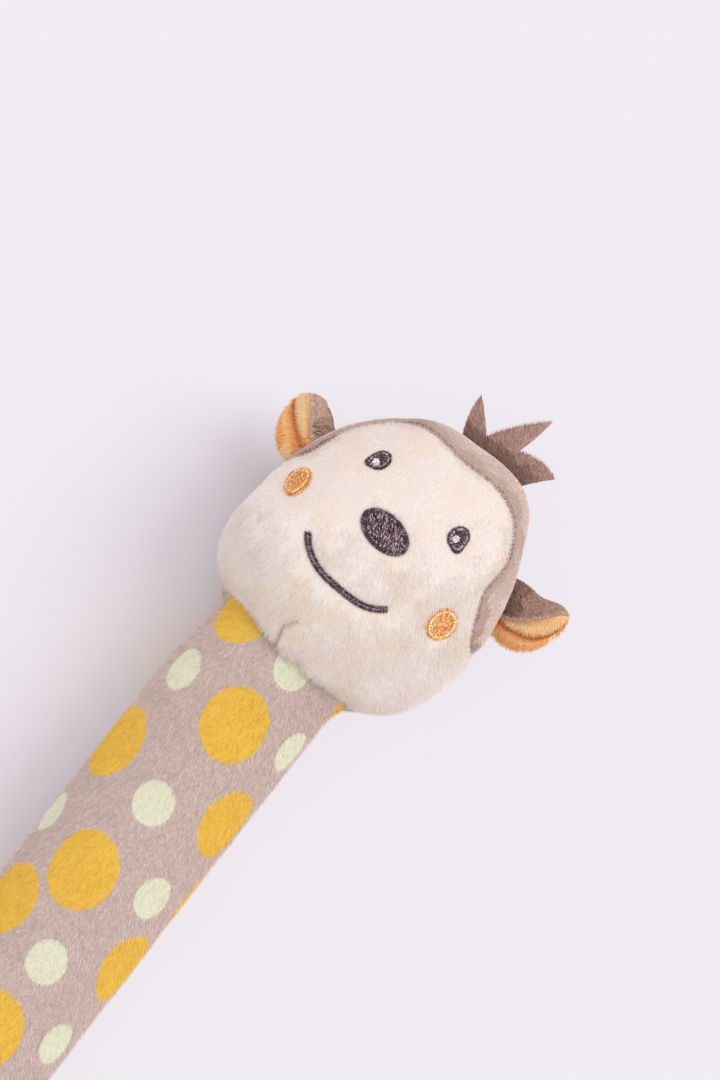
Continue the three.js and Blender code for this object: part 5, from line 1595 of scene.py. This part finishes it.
# Painted shade at the root: the cloth darkens towards it.
root_shade = nodes.add("ShaderNodeAttribute", {"attribute_name": "root"}).output("Fac")
into(nodes, shader, "Base Color", nodes.mixed(root_shade, colour(*TUFT), colour(96, 70, 62)))
root = np.exp(-np.maximum(tuft_plan[:, 1], 0) / TUFT_ROOT_FADE)
tuft = Cloth(np.concatenate(tuft_sides), two_sided(upwards, count), {"root": np.tile(root, 2)})
put(tuft.piece("tuft_cloth", tuft_ground, ["root"]), "hair_tuft", "hair")
tuft_fibres = tints("tuft", TUFT, (0.75, 1.05, 1.45))
root_shade_fibres = tints("tuft_root", TUFT_ROOT_SHADE, (0.7, 1.0, 1.3))
tuft_comb = np.tile(0.8 * np.array(tuft_up) - 0.6 * np.array(tuft_side), (count, 1))
for k, (side, triangles) in enumerate(zip(tuft_sides, (upwards, upwards[:, ::-1]))):
    root_shade = TUFT_ROOT_REACH - tuft_plan[:, 1] + TUFT_ROOT_RAGGED * lumps(side / MM, 3.0, 13)
    skin = Cloth(side, triangles, {"comb": tuft_comb, "near": root_shade})
    pile(
        f"tuft_pile_{k + 1}", skin, "hair", tuft_fibres,
        density=9.0, length=1.3, width=0.24, lift=0.3, seed=71 + k,
        flatness=0.7, scatter=0.16, prints=[("near", root_shade_fibres)],
    )

# The setting: a plain pale floor that runs on past the picture, a pale sky all round, and one broad soft
# lamp from the picture's right. The photograph's shadow lies on one side of the toy only, so the camera sees
# the floor's plain tone to the right of the toy and above it. That changes no light on the toy.
FLOOR_TONE = (240, 236, 244)
FLOOR_SHOWN = (242, 237, 244)  # the tone that the lit floor has in the picture
FLOOR_CLEAR = 0.85  # how much of that tone the camera sees where the picture shows no shadow
FLOOR_REACH = 4.0  # in metres
CLEAR_ACROSS = (-30.0, 12.0)  # the shadow clears over this way across the tube
CLEAR_ALONG = (72.0, 100.0)  # and over this way past the ears
SKY_STRENGTH = 0.89
SKY_TONE = (1.0, 0.985, 0.99, 1.0)
LAMP_STRENGTH = 0.6
LAMP_TONE = (0.97, 1.0, 0.94)
LAMP_SPREAD = math.radians(34)
LAMP_ELEVATION = math.radians(48)

floor_mesh = bpy.data.meshes.new("floor")
corners = [(-FLOOR_REACH, -FLOOR_REACH, 0), (FLOOR_REACH, -FLOOR_REACH, 0)]
corners += [(FLOOR_REACH, FLOOR_REACH, 0), (-FLOOR_REACH, FLOOR_REACH, 0)]
floor_mesh.from_pydata(corners, [], [(0, 1, 2, 3)])
floor = bpy.data.objects.new("floor", floor_mesh)
bpy.context.scene.collection.objects.link(floor)
floor_look, nodes, shader = finish("floor_paper", colour(*FLOOR_TONE), roughness=0.9, specular=0.1)
place = nodes.add("ShaderNodeSeparateXYZ", {}, {0: nodes.add("ShaderNodeTexCoord").output("Object")})
shadowless = []
for axis, (start, stop) in (("X", CLEAR_ACROSS), ("Y", CLEAR_ALONG)):
    values = {0: place.output(axis), 1: start * MM, 2: stop * MM}
    shadowless.append(nodes.add("ShaderNodeMapRange", {"interpolation_type": "SMOOTHSTEP"}, values))
ray = nodes.add("ShaderNodeLightPath")
shiny = ray.maths("MAXIMUM", ray.output("Is Glossy Ray"), ray.output("Is Transmission Ray"))
seen = ray.maths("MAXIMUM", ray.output("Is Camera Ray"), shiny)
share = ray.maths("MAXIMUM", *shadowless) * FLOOR_CLEAR * seen
shown = nodes.add("ShaderNodeEmission", {}, {"Color": colour(*FLOOR_SHOWN), "Strength": 1.0})
lit = Wire(nodes, shader.outputs["BSDF"])
mixed = nodes.add("ShaderNodeMixShader", {}, {0: share, 1: lit, 2: shown})
nodes.tree.links.new(mixed.socket, nodes.tree.nodes["Material Output"].inputs["Surface"])
floor_mesh.materials.append(floor_look)
floor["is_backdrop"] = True

world = bpy.data.worlds.new("sky")
world.use_nodes = True
bpy.context.scene.world = world
sky = world.node_tree.nodes["Background"]
sky.inputs["Color"].default_value = SKY_TONE
sky.inputs["Strength"].default_value = SKY_STRENGTH

lamp_data = bpy.data.lights.new("soft_lamp", "SUN")
lamp_data.angle = LAMP_SPREAD
lamp_data.energy = LAMP_STRENGTH
lamp_data.color = LAMP_TONE
lamp = bpy.data.objects.new("soft_lamp", lamp_data)
towards = (VIEW_RIGHT * math.cos(LAMP_ELEVATION) + Vector((0, 0, 1)) * math.sin(LAMP_ELEVATION)).normalized()
lamp.location = VIEW_MIDDLE + towards
lamp.rotation_mode = "QUATERNION"
lamp.rotation_quaternion = towards.to_track_quat("Z", "Y")
bpy.context.scene.collection.objects.link(lamp)
bpy.context.scene.view_settings.view_transform = "Standard"

low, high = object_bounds()
